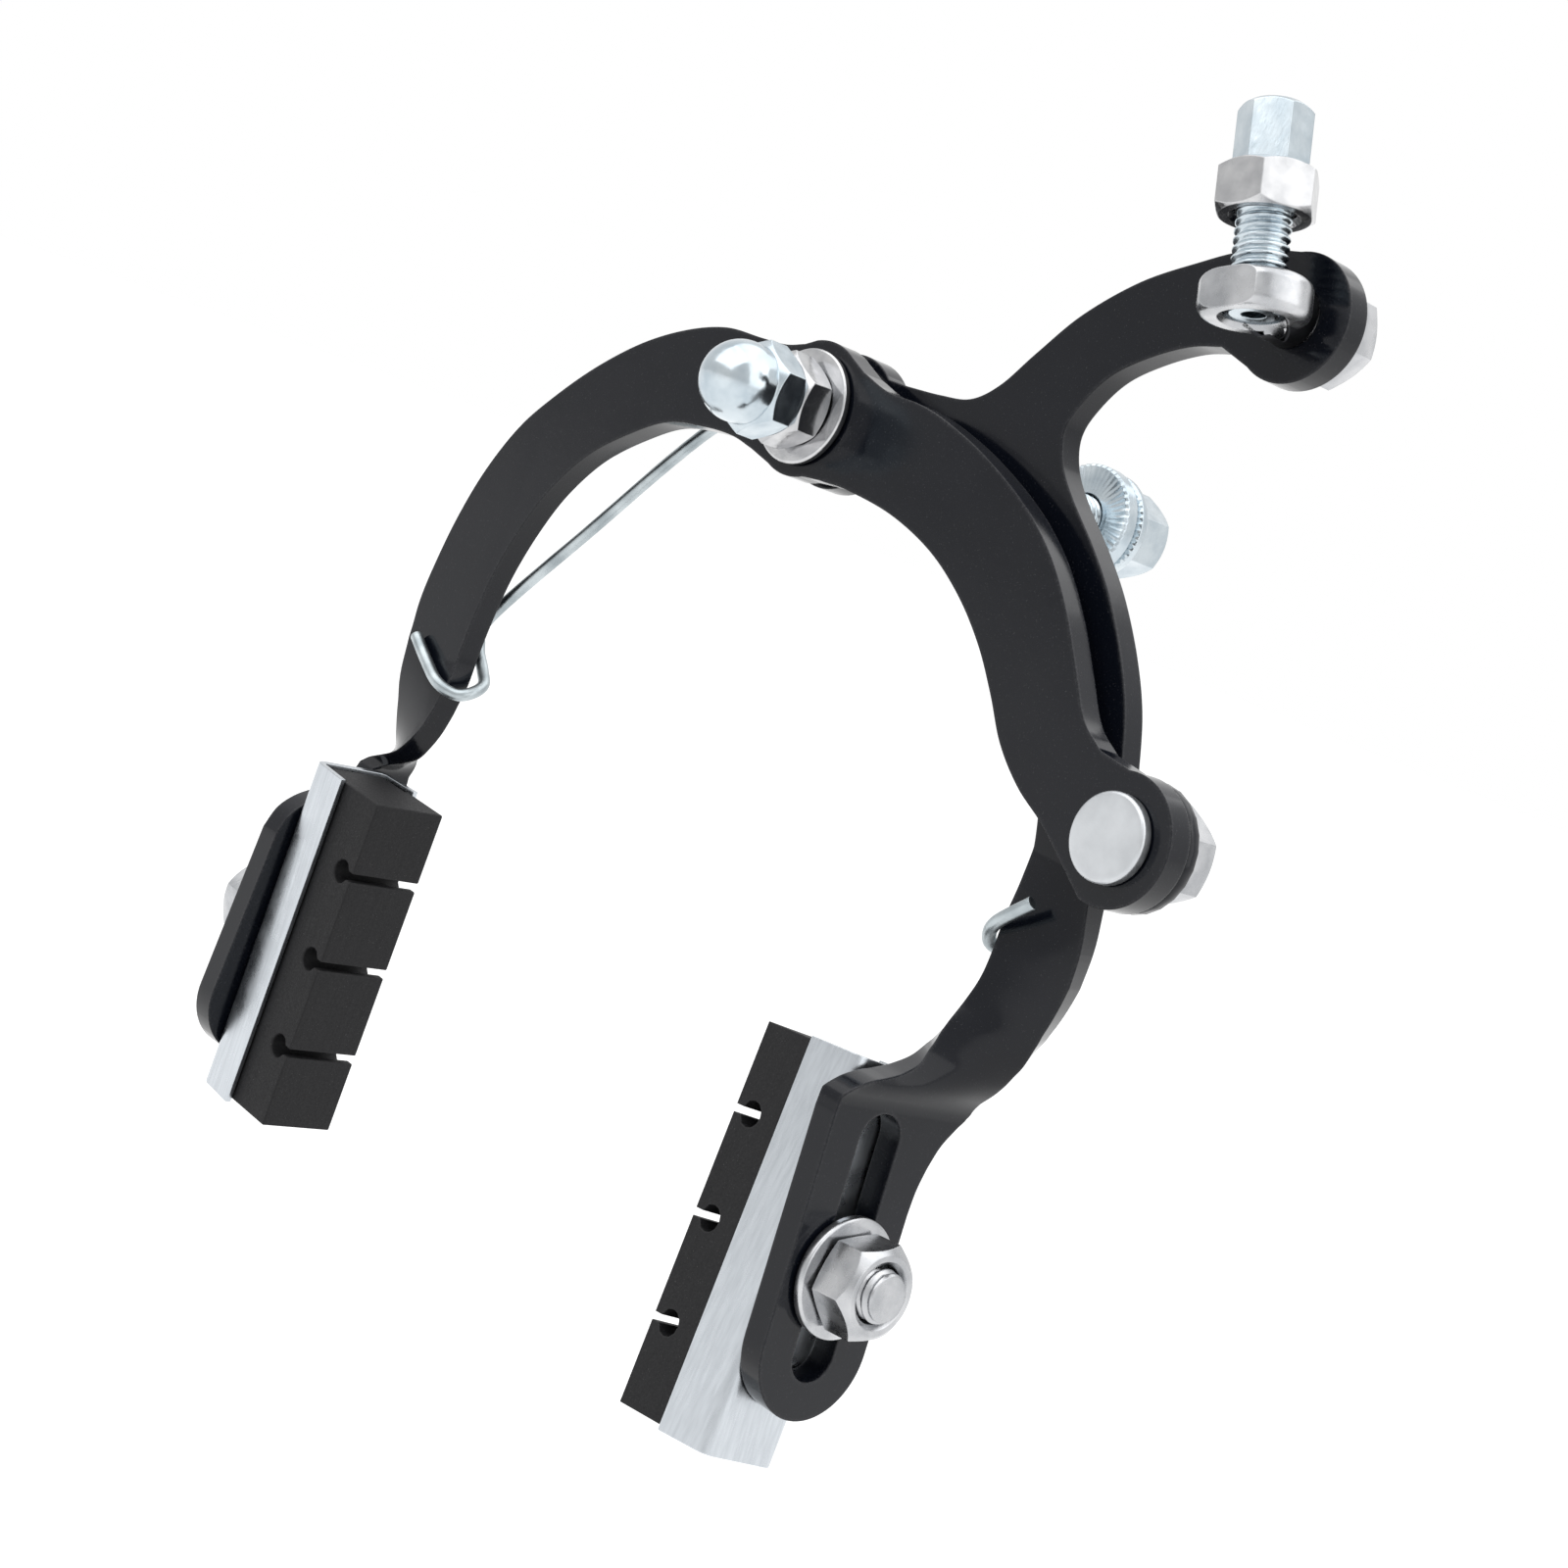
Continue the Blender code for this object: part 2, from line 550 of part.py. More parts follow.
def rear_arm_outline():
    inner_limb, tip, outer_limb = limb_outline("right")
    edge_x = SIDES["right"]["edge_x"]
    beside_nut = ANCHOR[0] - NUT_CORNER_R - FIT
    upper_top = smooth([(8.4, 6.5), (14.0, 6.8), (18.7, 7.5), (22.3, 10.1), (25.8, 14.8), (30.3, 20.4),
                        (36.7, 25.7), (43.9, 29.6), (48.2, 31.6), (52.2, 32.8)])
    upper_eye = arc(UPPER_EYE, UPPER_EYE_R, 108, -118, 12)
    notch = smooth([(50.8, 21.4), (46.7, 20.4), (42.0, 18.1), (37.7, 15.0), (35.1, 11.2), (34.1, 7.7),
                    (35.5, 4.2), (38.6, 1.0), (44.2, -3.4), (48.8, -7.6), (53.3, -12.9), (56.7, -18.1),
                    (59.1, -23.7), (beside_nut, ANCHOR[1] + NUT_CORNER_R / 2),
                    (beside_nut, ANCHOR[1] - NUT_CORNER_R / 2), (61.8, -38.6), (62.9, -43.0),
                    (edge_x, -48.0)])
    inner = smooth([inner_limb[0], (53.0, -43.8), (52.6, -39.6), (51.5, -34.5), (48.7, -27.9), (44.4, -22.2),
                    (39.4, -17.0), (32.8, -12.1), (25.0, -8.5), (16.0, -7.0), (9.0, -6.9)])
    return joined(arc((0, 0), PIVOT_EYE_R, 310, 52, 12), upper_top, upper_eye, notch,
                  list(reversed(outer_limb)), list(reversed(tip)), list(reversed(inner_limb)), inner)


def build_arms():
    front_axis = axis_empty("front_arm_axis", Matrix())
    rear_axis = axis_empty("rear_arm_axis", Matrix())
    arm("front_arm", "left", front_arm_outline(), FRONT_ARM_MIDDLE,
        (("pivot_bore", (0, 0), BORE_R), ("anchor_bore", ANCHOR, BORE_R)), front_axis)
    arm("rear_arm", "right", rear_arm_outline(), REAR_ARM_MIDDLE,
        (("pivot_bore", (0, 0), BORE_R), ("adjuster_bore", UPPER_EYE, BORE_R)), rear_axis)
    return front_axis, rear_axis


def build_front_stack():
    face = FRONT_ARM_FACE - SEAT
    washer("front_washer", BORE_R, WASHER_R, face - FRONT_WASHER_THICKNESS, face, CHROME)
    face -= FRONT_WASHER_THICKNESS + SEAT
    hex_nut("front_lock_nut", NUT_ACROSS_FLATS, BORE_R, face - FRONT_NUT_HEIGHT, face, CHROME)
    face -= FRONT_NUT_HEIGHT + SEAT
    return acorn_nut(face)


def acorn_nut(seat):
    """A domed nut: a hexagon with a ball end, threaded from behind and closed at the front."""
    hex_front = seat - ACORN_HEX_HEIGHT
    dome_centre = hex_front - ACORN_NECK
    flat = NUT_ACROSS_FLATS / 2 - 0.1
    corner = NUT_CORNER_R + 0.05
    dome = [(ACORN_DOME_R * math.cos(math.radians(a)), dome_centre - ACORN_DOME_R * math.sin(math.radians(a)))
            for a in range(0, 90, 15)]
    bore_end = dome_centre - ACORN_DOME_R + ACORN_WALL
    profile = [(BORE_R + 0.4, seat), (flat, seat), (corner, seat - NUT_CHAMFER),
               (corner, hex_front + NUT_CHAMFER), (ACORN_DOME_R, hex_front), *dome,
               (0, dome_centre - ACORN_DOME_R), (0, bore_end), (BORE_R, bore_end), (BORE_R, seat - 0.4)]
    nut = turned("acorn_nut", profile, ZINC)
    shaper = prism("acorn_hexagon", NUT_ACROSS_FLATS, dome_centre - 2 * ACORN_DOME_R, seat + 1)
    boolean(nut, shaper, "INTERSECT")
    return bore_end


def build_pivot_washers():
    for index in range(THRUST_WASHER_COUNT):
        low = SEAT + index * (THRUST_WASHER_THICKNESS + SEAT)
        washer(f"thrust_washer_{index + 1}", BORE_R, WASHER_R, low, low + THRUST_WASHER_THICKNESS, CHROME)


def build_rear_stack():
    """Rear washer, spring holder, and past the fork the toothed washer and flanged nut."""
    face = REAR_ARM_BACK + SEAT
    washer("rear_washer", BORE_R, WASHER_R, face, face + REAR_WASHER_THICKNESS, ZINC)
    spring_holder(HOLDER_FACE)
    face = HOLDER_FACE + HOLDER_FLANGE_LENGTH + HOLDER_BOSS_LENGTH + FORK_SPAN
    toothed_washer(face)
    face += TOOTHED_WASHER_THICKNESS + SEAT
    return mounting_nut(face)


def spring_holder(face):
    """A shouldered bush on the bolt, with a slit across its top for the middle of the spring."""
    step = face + HOLDER_FLANGE_LENGTH
    end = step + HOLDER_BOSS_LENGTH
    edge = 0.4
    profile = [(BORE_R, face), (HOLDER_R - edge, face), (HOLDER_R, face + edge), (HOLDER_R, step - edge),
               (HOLDER_R - edge, step), (HOLDER_BOSS_R, step), (HOLDER_BOSS_R, end - edge),
               (HOLDER_BOSS_R - edge, end), (BORE_R, end)]
    holder = turned("spring_holder", profile, ZINC)
    half = WIRE_R + FIT
    slit = block("spring_slit", (-HOLDER_R - 1, WIRE_SEAT_Y - half, WIRE_SEAT_Z - half),
                 (HOLDER_R + 1, WIRE_SEAT_Y + half, HOLDER_R + 1))
    boolean(holder, slit, "DIFFERENCE")


def tooth_cutters(name, face, depth, outer, inner, count, away):
    """Radial V grooves across a ring's face, joined in one cutter; away is +1 or -1 along the bolt."""
    bm = bmesh.new()
    half = math.pi * outer / count * 0.8
    for index in range(count):
        made = bmesh.ops.create_cone(bm, cap_ends=True, segments=3, radius1=1, radius2=1, depth=1)
        turn = Matrix.Rotation(2 * math.pi * index / count, 4, "Z")
        corners = sorted(made["verts"], key=lambda v: (v.co.z, math.atan2(v.co.y, v.co.x)))
        for layer, radius in enumerate((inner, outer)):
            share = radius / outer
            section = ((-half * share, away * depth), (0, -away * depth * share),
                       (half * share, away * depth))
            for vert, (across, along) in zip(corners[3 * layer:3 * layer + 3], section):
                vert.co = turn @ Vector((radius, across, face + along))
    bmesh.ops.scale(bm, verts=bm.verts, vec=(MM, MM, MM))
    bmesh.ops.recalc_face_normals(bm, faces=bm.faces)
    return piece(name, mesh_from(bm, name, smooth=False), None, None, BOLT_AXIS)


def toothed_washer(face):
    edge = 0.3
    back = face + TOOTHED_WASHER_THICKNESS
    hub = BORE_R + 1.2
    profile = [(BORE_R, face), (TOOTHED_WASHER_R - edge, face), (TOOTHED_WASHER_R, face + edge),
               (TOOTHED_WASHER_R, back - edge), (TOOTHED_WASHER_R - edge, back), (BORE_R, back)]
    ring = turned("toothed_washer", profile, ZINC, steps=48)
    cutter = tooth_cutters("washer_teeth", face, TOOTH_DEPTH, TOOTHED_WASHER_R + 0.5, hub, TOOTH_COUNT, -1)
    boolean(ring, cutter, "DIFFERENCE")


def mounting_nut(face):
    """The nut at the back of the bolt: a round flange that runs into a hexagon with a tapered end."""
    collar = face + FLANGE_THICKNESS
    end = face + MOUNTING_NUT_HEIGHT
    corner = NUT_CORNER_R + 0.05
    profile = [(BORE_R + 0.4, face), (FLANGE_R - 0.3, face), (FLANGE_R, face + 0.3), (FLANGE_R, collar - 0.5),
               (corner, collar), (corner, end - 2 * NUT_CHAMFER), (NUT_ACROSS_FLATS / 2 - 0.5, end),
               (BORE_R + 0.4, end), (BORE_R, end - 0.4), (BORE_R, face + 0.4)]
    nut = turned("mounting_nut", profile, ZINC)
    shaper = prism("mounting_nut_hexagon", NUT_ACROSS_FLATS, collar, end + 1)
    disc = rod("mounting_nut_flange", FLANGE_R + 1, face - 1, collar)
    boolean(shaper, disc, "UNION")
    boolean(nut, shaper, "INTERSECT")
    return end


def build_centre_bolt(front_end, rear_nut_end):
    tip = 0.6
    front = front_end + SEAT + 0.3
    rear = rear_nut_end + BOLT_REAR_TAIL
    profile = [(0, front), (THREAD_R - tip, front), (THREAD_R, front + tip), (THREAD_R, rear - tip),
               (THREAD_R - tip, rear), (0, rear)]
    turned("centre_bolt", profile, ZINC)


def build_anchor(front_axis):
    """Cable anchor: a flat-headed bolt through the front arm's eye, its washer and its nut."""
    axis = axis_empty("anchor_axis", Matrix.Translation((ANCHOR[0], 0, ANCHOR[1])), front_axis)
    head_back = FRONT_ARM_FACE - SEAT
    head_front = head_back - ANCHOR_HEAD_HEIGHT
    washer_back = SEAT + ANCHOR_WASHER_THICKNESS
    nut_front = washer_back + SEAT
    nut_back = nut_front + ANCHOR_NUT_HEIGHT
    edge = 0.35
    end = nut_back + 0.8
    profile = [(0, head_front), (ANCHOR_HEAD_R - edge, head_front), (ANCHOR_HEAD_R, head_front + edge),
               (ANCHOR_HEAD_R, head_back), (THREAD_R, head_back), (THREAD_R, end - edge),
               (THREAD_R - edge, end), (0, end)]
    bolt = turned("anchor_bolt", profile, CHROME, axis, steps=30)
    across = Matrix.Translation((0, SEAT / 2 + CABLE_HOLE_R, 0))
    hole = rod("cable_hole", CABLE_HOLE_R, -THREAD_R - 1, THREAD_R + 1, axis, across, steps=16)
    boolean(bolt, hole, "DIFFERENCE")
    washer("anchor_washer", BORE_R, ANCHOR_WASHER_R, SEAT, washer_back, BLACK_PAINT, axis, round_by=0.4)
    hex_nut("anchor_nut", NUT_ACROSS_FLATS, BORE_R, nut_front, nut_back, CHROME, axis)


def build_adjuster(rear_axis):
    """Cable adjuster: a swivelling stud in the rear arm's upper eye, and a threaded barrel through it."""
    tilt = Matrix.Rotation(math.radians(ADJUSTER_TILT), 4, "Y")
    eye = Matrix.Translation((UPPER_EYE[0], 0, UPPER_EYE[1]))
    swivel = axis_empty("adjuster_axis", eye @ tilt, rear_axis)
    across = Matrix.Translation((0, ADJUSTER_Y, STUD_HEAD_RISE))
    half = STUD_HEAD_HEIGHT / 2
    inner = STUD_HEAD_R - STUD_HEAD_CHAMFER
    profile = [(0, -half), (inner, -half), (STUD_HEAD_R, -half + STUD_HEAD_CHAMFER),
               (STUD_HEAD_R, half - STUD_HEAD_CHAMFER), (inner, half), (0, half)]
    stud = turned("adjuster_stud", profile, CHROME, swivel, across)
    shank_end = REAR_ARM_BACK + SEAT + STUD_NUT_HEIGHT + 0.8
    collar_end = REAR_ARM_FACE - SEAT
    profile = [(0, ADJUSTER_Y + 2), (STUD_COLLAR_R - 1.6, ADJUSTER_Y + 2), (STUD_COLLAR_R, ADJUSTER_Y + 4),
               (STUD_COLLAR_R, collar_end), (THREAD_R, collar_end), (THREAD_R, shank_end - 0.4),
               (THREAD_R - 0.4, shank_end), (0, shank_end)]
    shank = turned("stud_shank", profile, None, swivel)
    boolean(stud, shank, "UNION")
    flat = block("stud_front_flat", (-10, -20, -10), (10, ADJUSTER_Y - STUD_HEAD_FLAT, 10), swivel)
    boolean(stud, flat, "DIFFERENCE")
    sink = 0.9
    wide = BORE_R + sink + 1
    reach = STUD_COLLAR_R + 1
    hole = [(0, -reach), (BORE_R, -reach), (BORE_R, -half - 1), (wide, -half - 1), (BORE_R, -half + sink),
            (BORE_R, half - sink), (wide, half + 1), (BORE_R, half + 1), (BORE_R, reach), (0, reach)]
    bore = turned("stud_cross_hole", hole, None, swivel, across)
    boolean(stud, bore, "DIFFERENCE")
    nut_front = REAR_ARM_BACK + SEAT
    nut_back = nut_front + STUD_NUT_HEIGHT
    hex_nut("adjuster_stud_nut", NUT_ACROSS_FLATS, BORE_R, nut_front, nut_back, CHROME, swivel)

    travel = axis_empty("barrel_axis", across, swivel)
    lock_low = half + BARREL_THREAD_SHOWN
    lock_high = lock_low + LOCK_NUT_HEIGHT
    sixth = Matrix.Rotation(math.pi / 6, 4, "Z")
    hex_nut("adjuster_lock_nut", NUT_ACROSS_FLATS, BORE_R, lock_low, lock_high, CHROME, travel, sixth)
    barrel(lock_high + SEAT, half - BARREL_THREAD_HIDDEN, travel)


def barrel(head_low, tail, parent):
    """The hollow adjusting screw: its threaded shank, and a small hexagon head with the casing's seat."""
    head_high = head_low + BARREL_HEAD_HEIGHT
    corner = BARREL_HEAD_AF / 2 / math.cos(math.pi / 6) + 0.05
    crown = BARREL_HEAD_AF / 2 - 0.4
    socket = head_high - BARREL_SOCKET_DEPTH
    profile = [(BARREL_BORE_R, tail), (THREAD_R - 0.4, tail), (THREAD_R, tail + 0.4), (THREAD_R, head_low),
               (corner, head_low), (corner, head_high - NUT_CHAMFER), (crown, head_high),
               (BARREL_SOCKET_R, head_high), (BARREL_SOCKET_R, socket), (BARREL_BORE_R, socket)]
    screw = turned("adjuster_barrel", profile, ZINC, parent, Matrix())
    shaper = prism("barrel_hexagon", BARREL_HEAD_AF, tail - 1, head_high + 1, parent, Matrix())
    boolean(screw, shaper, "INTERSECT")


def groove(face_x, height):
    """Outline points of one keyhole groove in the braking face, from its lower to its upper lip."""
    half = GROOVE_MOUTH / 2
    start = 180 - math.degrees(math.asin(half / GROOVE_R))
    ring = arc((face_x + GROOVE_CENTRE_DEPTH, height), GROOVE_R, -start, start, 10)
    return [(face_x, height - half), *ring, (face_x, height + half)]


def build_shoe(name, carrier):
    """One brake shoe: rubber, channel, stud, and the washer and nut outside the slotted end."""
    side = SIDES[name]
    stud_at = Matrix.Translation((side["sign"] * PLATE_REACH, SLOT_Y, stud_z(side)))
    lean = Matrix.Rotation(-side["sign"] * math.radians(side["lean"]), 4, "Y")
    face_out = Matrix.Rotation(0 if side["sign"] > 0 else math.pi, 4, "Z")
    slide = axis_empty(f"{name}_slot_axis", stud_at @ lean @ face_out, carrier)
    turn = Matrix.Rotation(side["sign"] * math.radians(side["turn"]), 4, "X")
    shoe = axis_empty(f"{name}_shoe_axis", turn, slide)
    stud_axis = Matrix.Rotation(math.pi / 2, 4, "Y")

    back = -(ARM_THICKNESS / 2 + SEAT)
    face = back - SHOE_DEPTH
    holder_inside = back - HOLDER_BACK
    lip = back - HOLDER_SIDE
    head_low = holder_inside - SEAT - SHOE_STUD_HEAD_HEIGHT

    half_length = SHOE_LENGTH / 2
    root = holder_inside - SEAT
    pocket = head_low - SEAT
    pocket_half = SHOE_STUD_HEAD_R + FIT
    first = -(GROOVE_COUNT - 1) / 2
    grooves = [p for i in range(GROOVE_COUNT) for p in groove(face, (first + i) * GROOVE_PITCH)]
    outline = [(face, -half_length), *grooves, (face, half_length), (root, half_length), (root, pocket_half),
               (pocket, pocket_half), (pocket, -pocket_half), (root, -pocket_half), (root, -half_length)]
    bm = flat_mesh(f"{name}_pad_rubber", [outline], RUBBER_WIDTH)
    bmesh.ops.transform(bm, matrix=CURVE_UPRIGHT, verts=bm.verts)
    rubber = piece(f"{name}_pad_rubber", mesh_from(bm, f"{name}_pad_rubber"), RUBBER, shoe, Matrix())
    inner_half = HOLDER_WIDTH / 2 - HOLDER_WALL - SEAT
    for label, sign in (("front", -1), ("rear", 1)):
        near, far = sorted((sign * inner_half, sign * RUBBER_WIDTH))
        step = block(f"{name}_rubber_{label}_step", (lip - SEAT, near, -SHOE_LENGTH), (0, far, SHOE_LENGTH),
                     shoe)
        boolean(rubber, step, "DIFFERENCE")

    holder(name, back, lip, shoe)

    washer_low = ARM_THICKNESS / 2 + SEAT
    washer_high = washer_low + SHOE_WASHER_THICKNESS
    nut_low = washer_high + SEAT
    nut_high = nut_low + SHOE_NUT_HEIGHT
    end = nut_high + SHOE_STUD_TAIL
    tip = 0.5
    head_high = head_low + SHOE_STUD_HEAD_HEIGHT
    profile = [(0, head_low), (SHOE_STUD_HEAD_R, head_low), (SHOE_STUD_HEAD_R, head_high),
               (THREAD_R, head_high), (THREAD_R, end - tip), (THREAD_R - tip, end), (0, end)]
    turned(f"{name}_pad_stud", profile, CHROME, shoe, stud_axis)
    washer(f"{name}_pad_washer", BORE_R, SHOE_WASHER_R, washer_low, washer_high, CHROME, slide, stud_axis,
           round_by=0.3)
    place = stud_axis @ Matrix.Rotation(math.radians(SHOE_NUT_TURN), 4, "Z")
    hex_nut(f"{name}_pad_nut", NUT_ACROSS_FLATS, BORE_R, nut_low, nut_high, CHROME, slide, place,
            chamfers=(0.4, 1.6))


def holder(name, back, lip, parent):
    """The shoe's channel: folded sheet whose side walls end in lips turned a little outwards."""
    half = HOLDER_WIDTH / 2
    inner = half - HOLDER_WALL
    corner = 1.2
    inside = back - HOLDER_BACK
    flare = lip + 1.1
    outer_side = [(flare, half), (back - corner, half)]
    outer_corner = arc((back - corner, half - corner), corner, 90, 0, 4)
    upper = [(lip, half + HOLDER_LIP), *outer_side, *outer_corner]
    upper_inner = [(inside, inner - 0.4), (inside - 0.4, inner), (flare, inner), (lip, inner + HOLDER_LIP)]
    lower = [(x, -y) for x, y in reversed(upper)]
    lower_inner = [(x, -y) for x, y in reversed(upper_inner)]
    outline = joined(upper, lower, lower_inner, upper_inner)
    bm = flat_mesh(f"{name}_pad_holder", [outline], SHOE_LENGTH)
    mesh = mesh_from(bm, f"{name}_pad_holder")
    channel = piece(f"{name}_pad_holder", mesh, STEEL_CHANNEL, parent, Matrix())
    stud_axis = Matrix.Rotation(math.pi / 2, 4, "Y")
    hole = rod(f"{name}_stud_hole", BORE_R, inside - 1, back + 1, parent, stud_axis)
    boolean(channel, hole, "DIFFERENCE")


def build_spring():
    """The return spring: one wire across the holder, with a hooked leg against each arm."""
    route = smooth([*LEFT_LEG, *SEATED_WIRE, *RIGHT_LEG], steps=3)
    data = bpy.data.curves.new("return_spring", "CURVE")
    data.dimensions = "3D"
    data.bevel_depth = WIRE_R * MM
    data.bevel_resolution = 2
    data.use_fill_caps = True
    spline = data.splines.new("POLY")
    spline.points.add(len(route) - 1)
    for point, place in zip(spline.points, route):
        point.co = (*(value * MM for value in place), 1)
    data.materials.append(material(ZINC))
    obj = bpy.data.objects.new("return_spring", data)
    PARTS.objects.link(obj)


def build():
    front_axis, rear_axis = build_arms()
    build_pivot_washers()
    acorn_bore_end = build_front_stack()
    rear_nut_end = build_rear_stack()
    build_centre_bolt(acorn_bore_end, rear_nut_end)
    build_anchor(front_axis)
    build_adjuster(rear_axis)
    build_shoe("left", front_axis)
    build_shoe("right", rear_axis)
    build_spring()
    bpy.context.view_layer.update()


build()
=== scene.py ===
"""Looks of the side-pull caliper brake: smooth, finished pieces on the frame, studio light and camera.

Lengths are written in millimetres and turned to metres by MM. X runs across the wheel, Y backwards along
the centre bolt and Z up, as in the frame.
"""
import json
import math

import bmesh
import bpy
from mathutils import Matrix, Vector


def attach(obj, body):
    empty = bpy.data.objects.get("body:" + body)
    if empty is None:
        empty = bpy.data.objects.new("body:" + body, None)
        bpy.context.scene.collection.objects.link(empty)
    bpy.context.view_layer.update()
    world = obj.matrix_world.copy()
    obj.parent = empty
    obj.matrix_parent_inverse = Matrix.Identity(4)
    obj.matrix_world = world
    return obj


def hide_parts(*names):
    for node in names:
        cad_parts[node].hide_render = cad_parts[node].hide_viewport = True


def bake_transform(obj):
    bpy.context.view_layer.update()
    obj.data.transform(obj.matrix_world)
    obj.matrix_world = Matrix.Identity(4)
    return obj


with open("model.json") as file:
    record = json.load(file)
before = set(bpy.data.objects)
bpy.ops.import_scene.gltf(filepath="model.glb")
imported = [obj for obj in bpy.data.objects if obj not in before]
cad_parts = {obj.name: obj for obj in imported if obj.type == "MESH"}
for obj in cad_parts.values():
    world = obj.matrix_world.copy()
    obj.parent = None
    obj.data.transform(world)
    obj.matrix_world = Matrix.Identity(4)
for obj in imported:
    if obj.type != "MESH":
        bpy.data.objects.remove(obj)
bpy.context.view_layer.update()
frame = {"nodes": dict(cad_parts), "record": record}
BODIES = frame["record"]["behaviour"]["bodies"]
BODY_OF = {name: body for body, names in BODIES.items() for name in names}

MM = 0.001
# Gap between a piece and its seat, as in the solids
SEAT = 0.25
# The M6 thread of every bolt, stud and screw
THREAD_R = 3.0
THREAD_PITCH = 1.0
THREAD_DEPTH = 0.42
# Clearance bore, and width across flats of the nuts
BORE_R = 3.3
NUT_AF = 10.0
NUT_HEIGHT = 5.0
# A turned profile starts this far inside a hexagon's flats and passes its corners by this much
CHAMFER_IN = 0.15
CORNER_SPARE = 0.05
# How far a cutting shape passes the piece that it cuts
PAST = 1.0
# Edges above these angles in degrees stay sharp in the shading: on most pieces, and on nuts
SHARP = 38
NUT_SHARP = 28
# Edges of bars and wires above this angle are rounded
RIM_ANGLE = math.radians(60)
# Distances in metres within which the points of made, curve and CAD meshes are joined
WELD = 0.0000005
CURVE_WELD = 0.000001
CAD_WELD = 0.000002
# Lays local Z of a turned piece along the centre bolt, towards the back
BOLT_AXIS = Matrix.Rotation(-math.pi / 2, 4, "X")


# Shading helpers

BEVEL_SAMPLES = 6
# Cosine between the rounded and the true normal where an edge starts to show, and where it shows fully
EDGE_FROM = 0.99
EDGE_FULL = 0.88


def colour(code):
    """A linear colour from an sRGB hex code."""
    values = [int(code[i:i + 2], 16) / 255 for i in (0, 2, 4)]
    return (*[v / 12.92 if v <= 0.04045 else ((v + 0.055) / 1.055) ** 2.4 for v in values], 1.0)


def feed(tree, socket, value):
    """Joins an input to another node's output, or sets it to a uniform value."""
    if isinstance(value, bpy.types.NodeSocket):
        tree.links.new(value, socket)
    else:
        socket.default_value = value


def node(tree, kind, inputs=None, **settings):
    """A shader node with its settings and its inputs, which go by name or number."""
    made = tree.nodes.new("ShaderNode" + kind)
    for key, value in settings.items():
        setattr(made, key, value)
    for key, value in (inputs or {}).items():
        feed(tree, made.inputs[key], value)
    return made


def noise(tree, scale, detail=3.0, stretch=(1, 1, 1), turn=(0, 0, 0)):
    """Noise on object coordinates; scale is in features per metre, and a stretch below 1 draws it out."""
    place = node(tree, "TexCoord").outputs["Object"]
    moved = node(tree, "Mapping", {"Vector": place, "Rotation": turn, "Scale": stretch})
    inputs = {"Vector": moved.outputs["Vector"], "Scale": scale, "Detail": detail}
    return node(tree, "TexNoise", inputs).outputs["Fac"]


def ranged(tree, value, low, high, to_low, to_high):
    """A value mapped from one range to another, and held at its ends."""
    made = node(tree, "MapRange", {"Value": value, "From Min": low, "From Max": high,
                                   "To Min": to_low, "To Max": to_high})
    return made.outputs["Result"]


def mixed(tree, factor, first, second):
    """A colour between two; the Mix node's colours go by number, because its types share their names."""
    return node(tree, "Mix", {0: factor, 6: first, 7: second}, data_type="RGBA").outputs[2]


def maths(tree, operation, a, b):
    """Two values added, multiplied or otherwise put together."""
    return node(tree, "Math", {0: a, 1: b}, operation=operation).outputs[0]


def rounded_normal(tree, radius):
    """The normal with edges rounded by a radius in millimetres."""
    return node(tree, "Bevel", {"Radius": radius * MM}, samples=BEVEL_SAMPLES).outputs["Normal"]


def edge_mask(tree, radius):
    """1 along convex and concave edges within a radius in millimetres, 0 on open faces."""
    soft = rounded_normal(tree, radius)
    true = node(tree, "NewGeometry").outputs["Normal"]
    along = node(tree, "VectorMath", {0: soft, 1: true}, operation="DOT_PRODUCT").outputs["Value"]
    return ranged(tree, along, EDGE_FROM, EDGE_FULL, 0.0, 1.0)


def bump(tree, height, distance, strength=1.0, rounding=0.0):
    """A normal from a height; the distance and the edge rounding are in millimetres."""
    inputs = {"Height": height, "Distance": distance * MM, "Strength": strength}
    if rounding:
        inputs["Normal"] = rounded_normal(tree, rounding)
    return node(tree, "Bump", inputs).outputs["Normal"]


def new_material(name):
    """A material with its node tree and its shader."""
    made = bpy.data.materials.new(name)
    made.use_nodes = True
    return made, made.node_tree, made.node_tree.nodes["Principled BSDF"]


def join(tree, shader, **sources):
    """Feeds a shader's inputs, whose names are written with _ for a space."""
    for key, value in sources.items():
        feed(tree, shader.inputs[key.replace("_", " ")], value)


# Materials

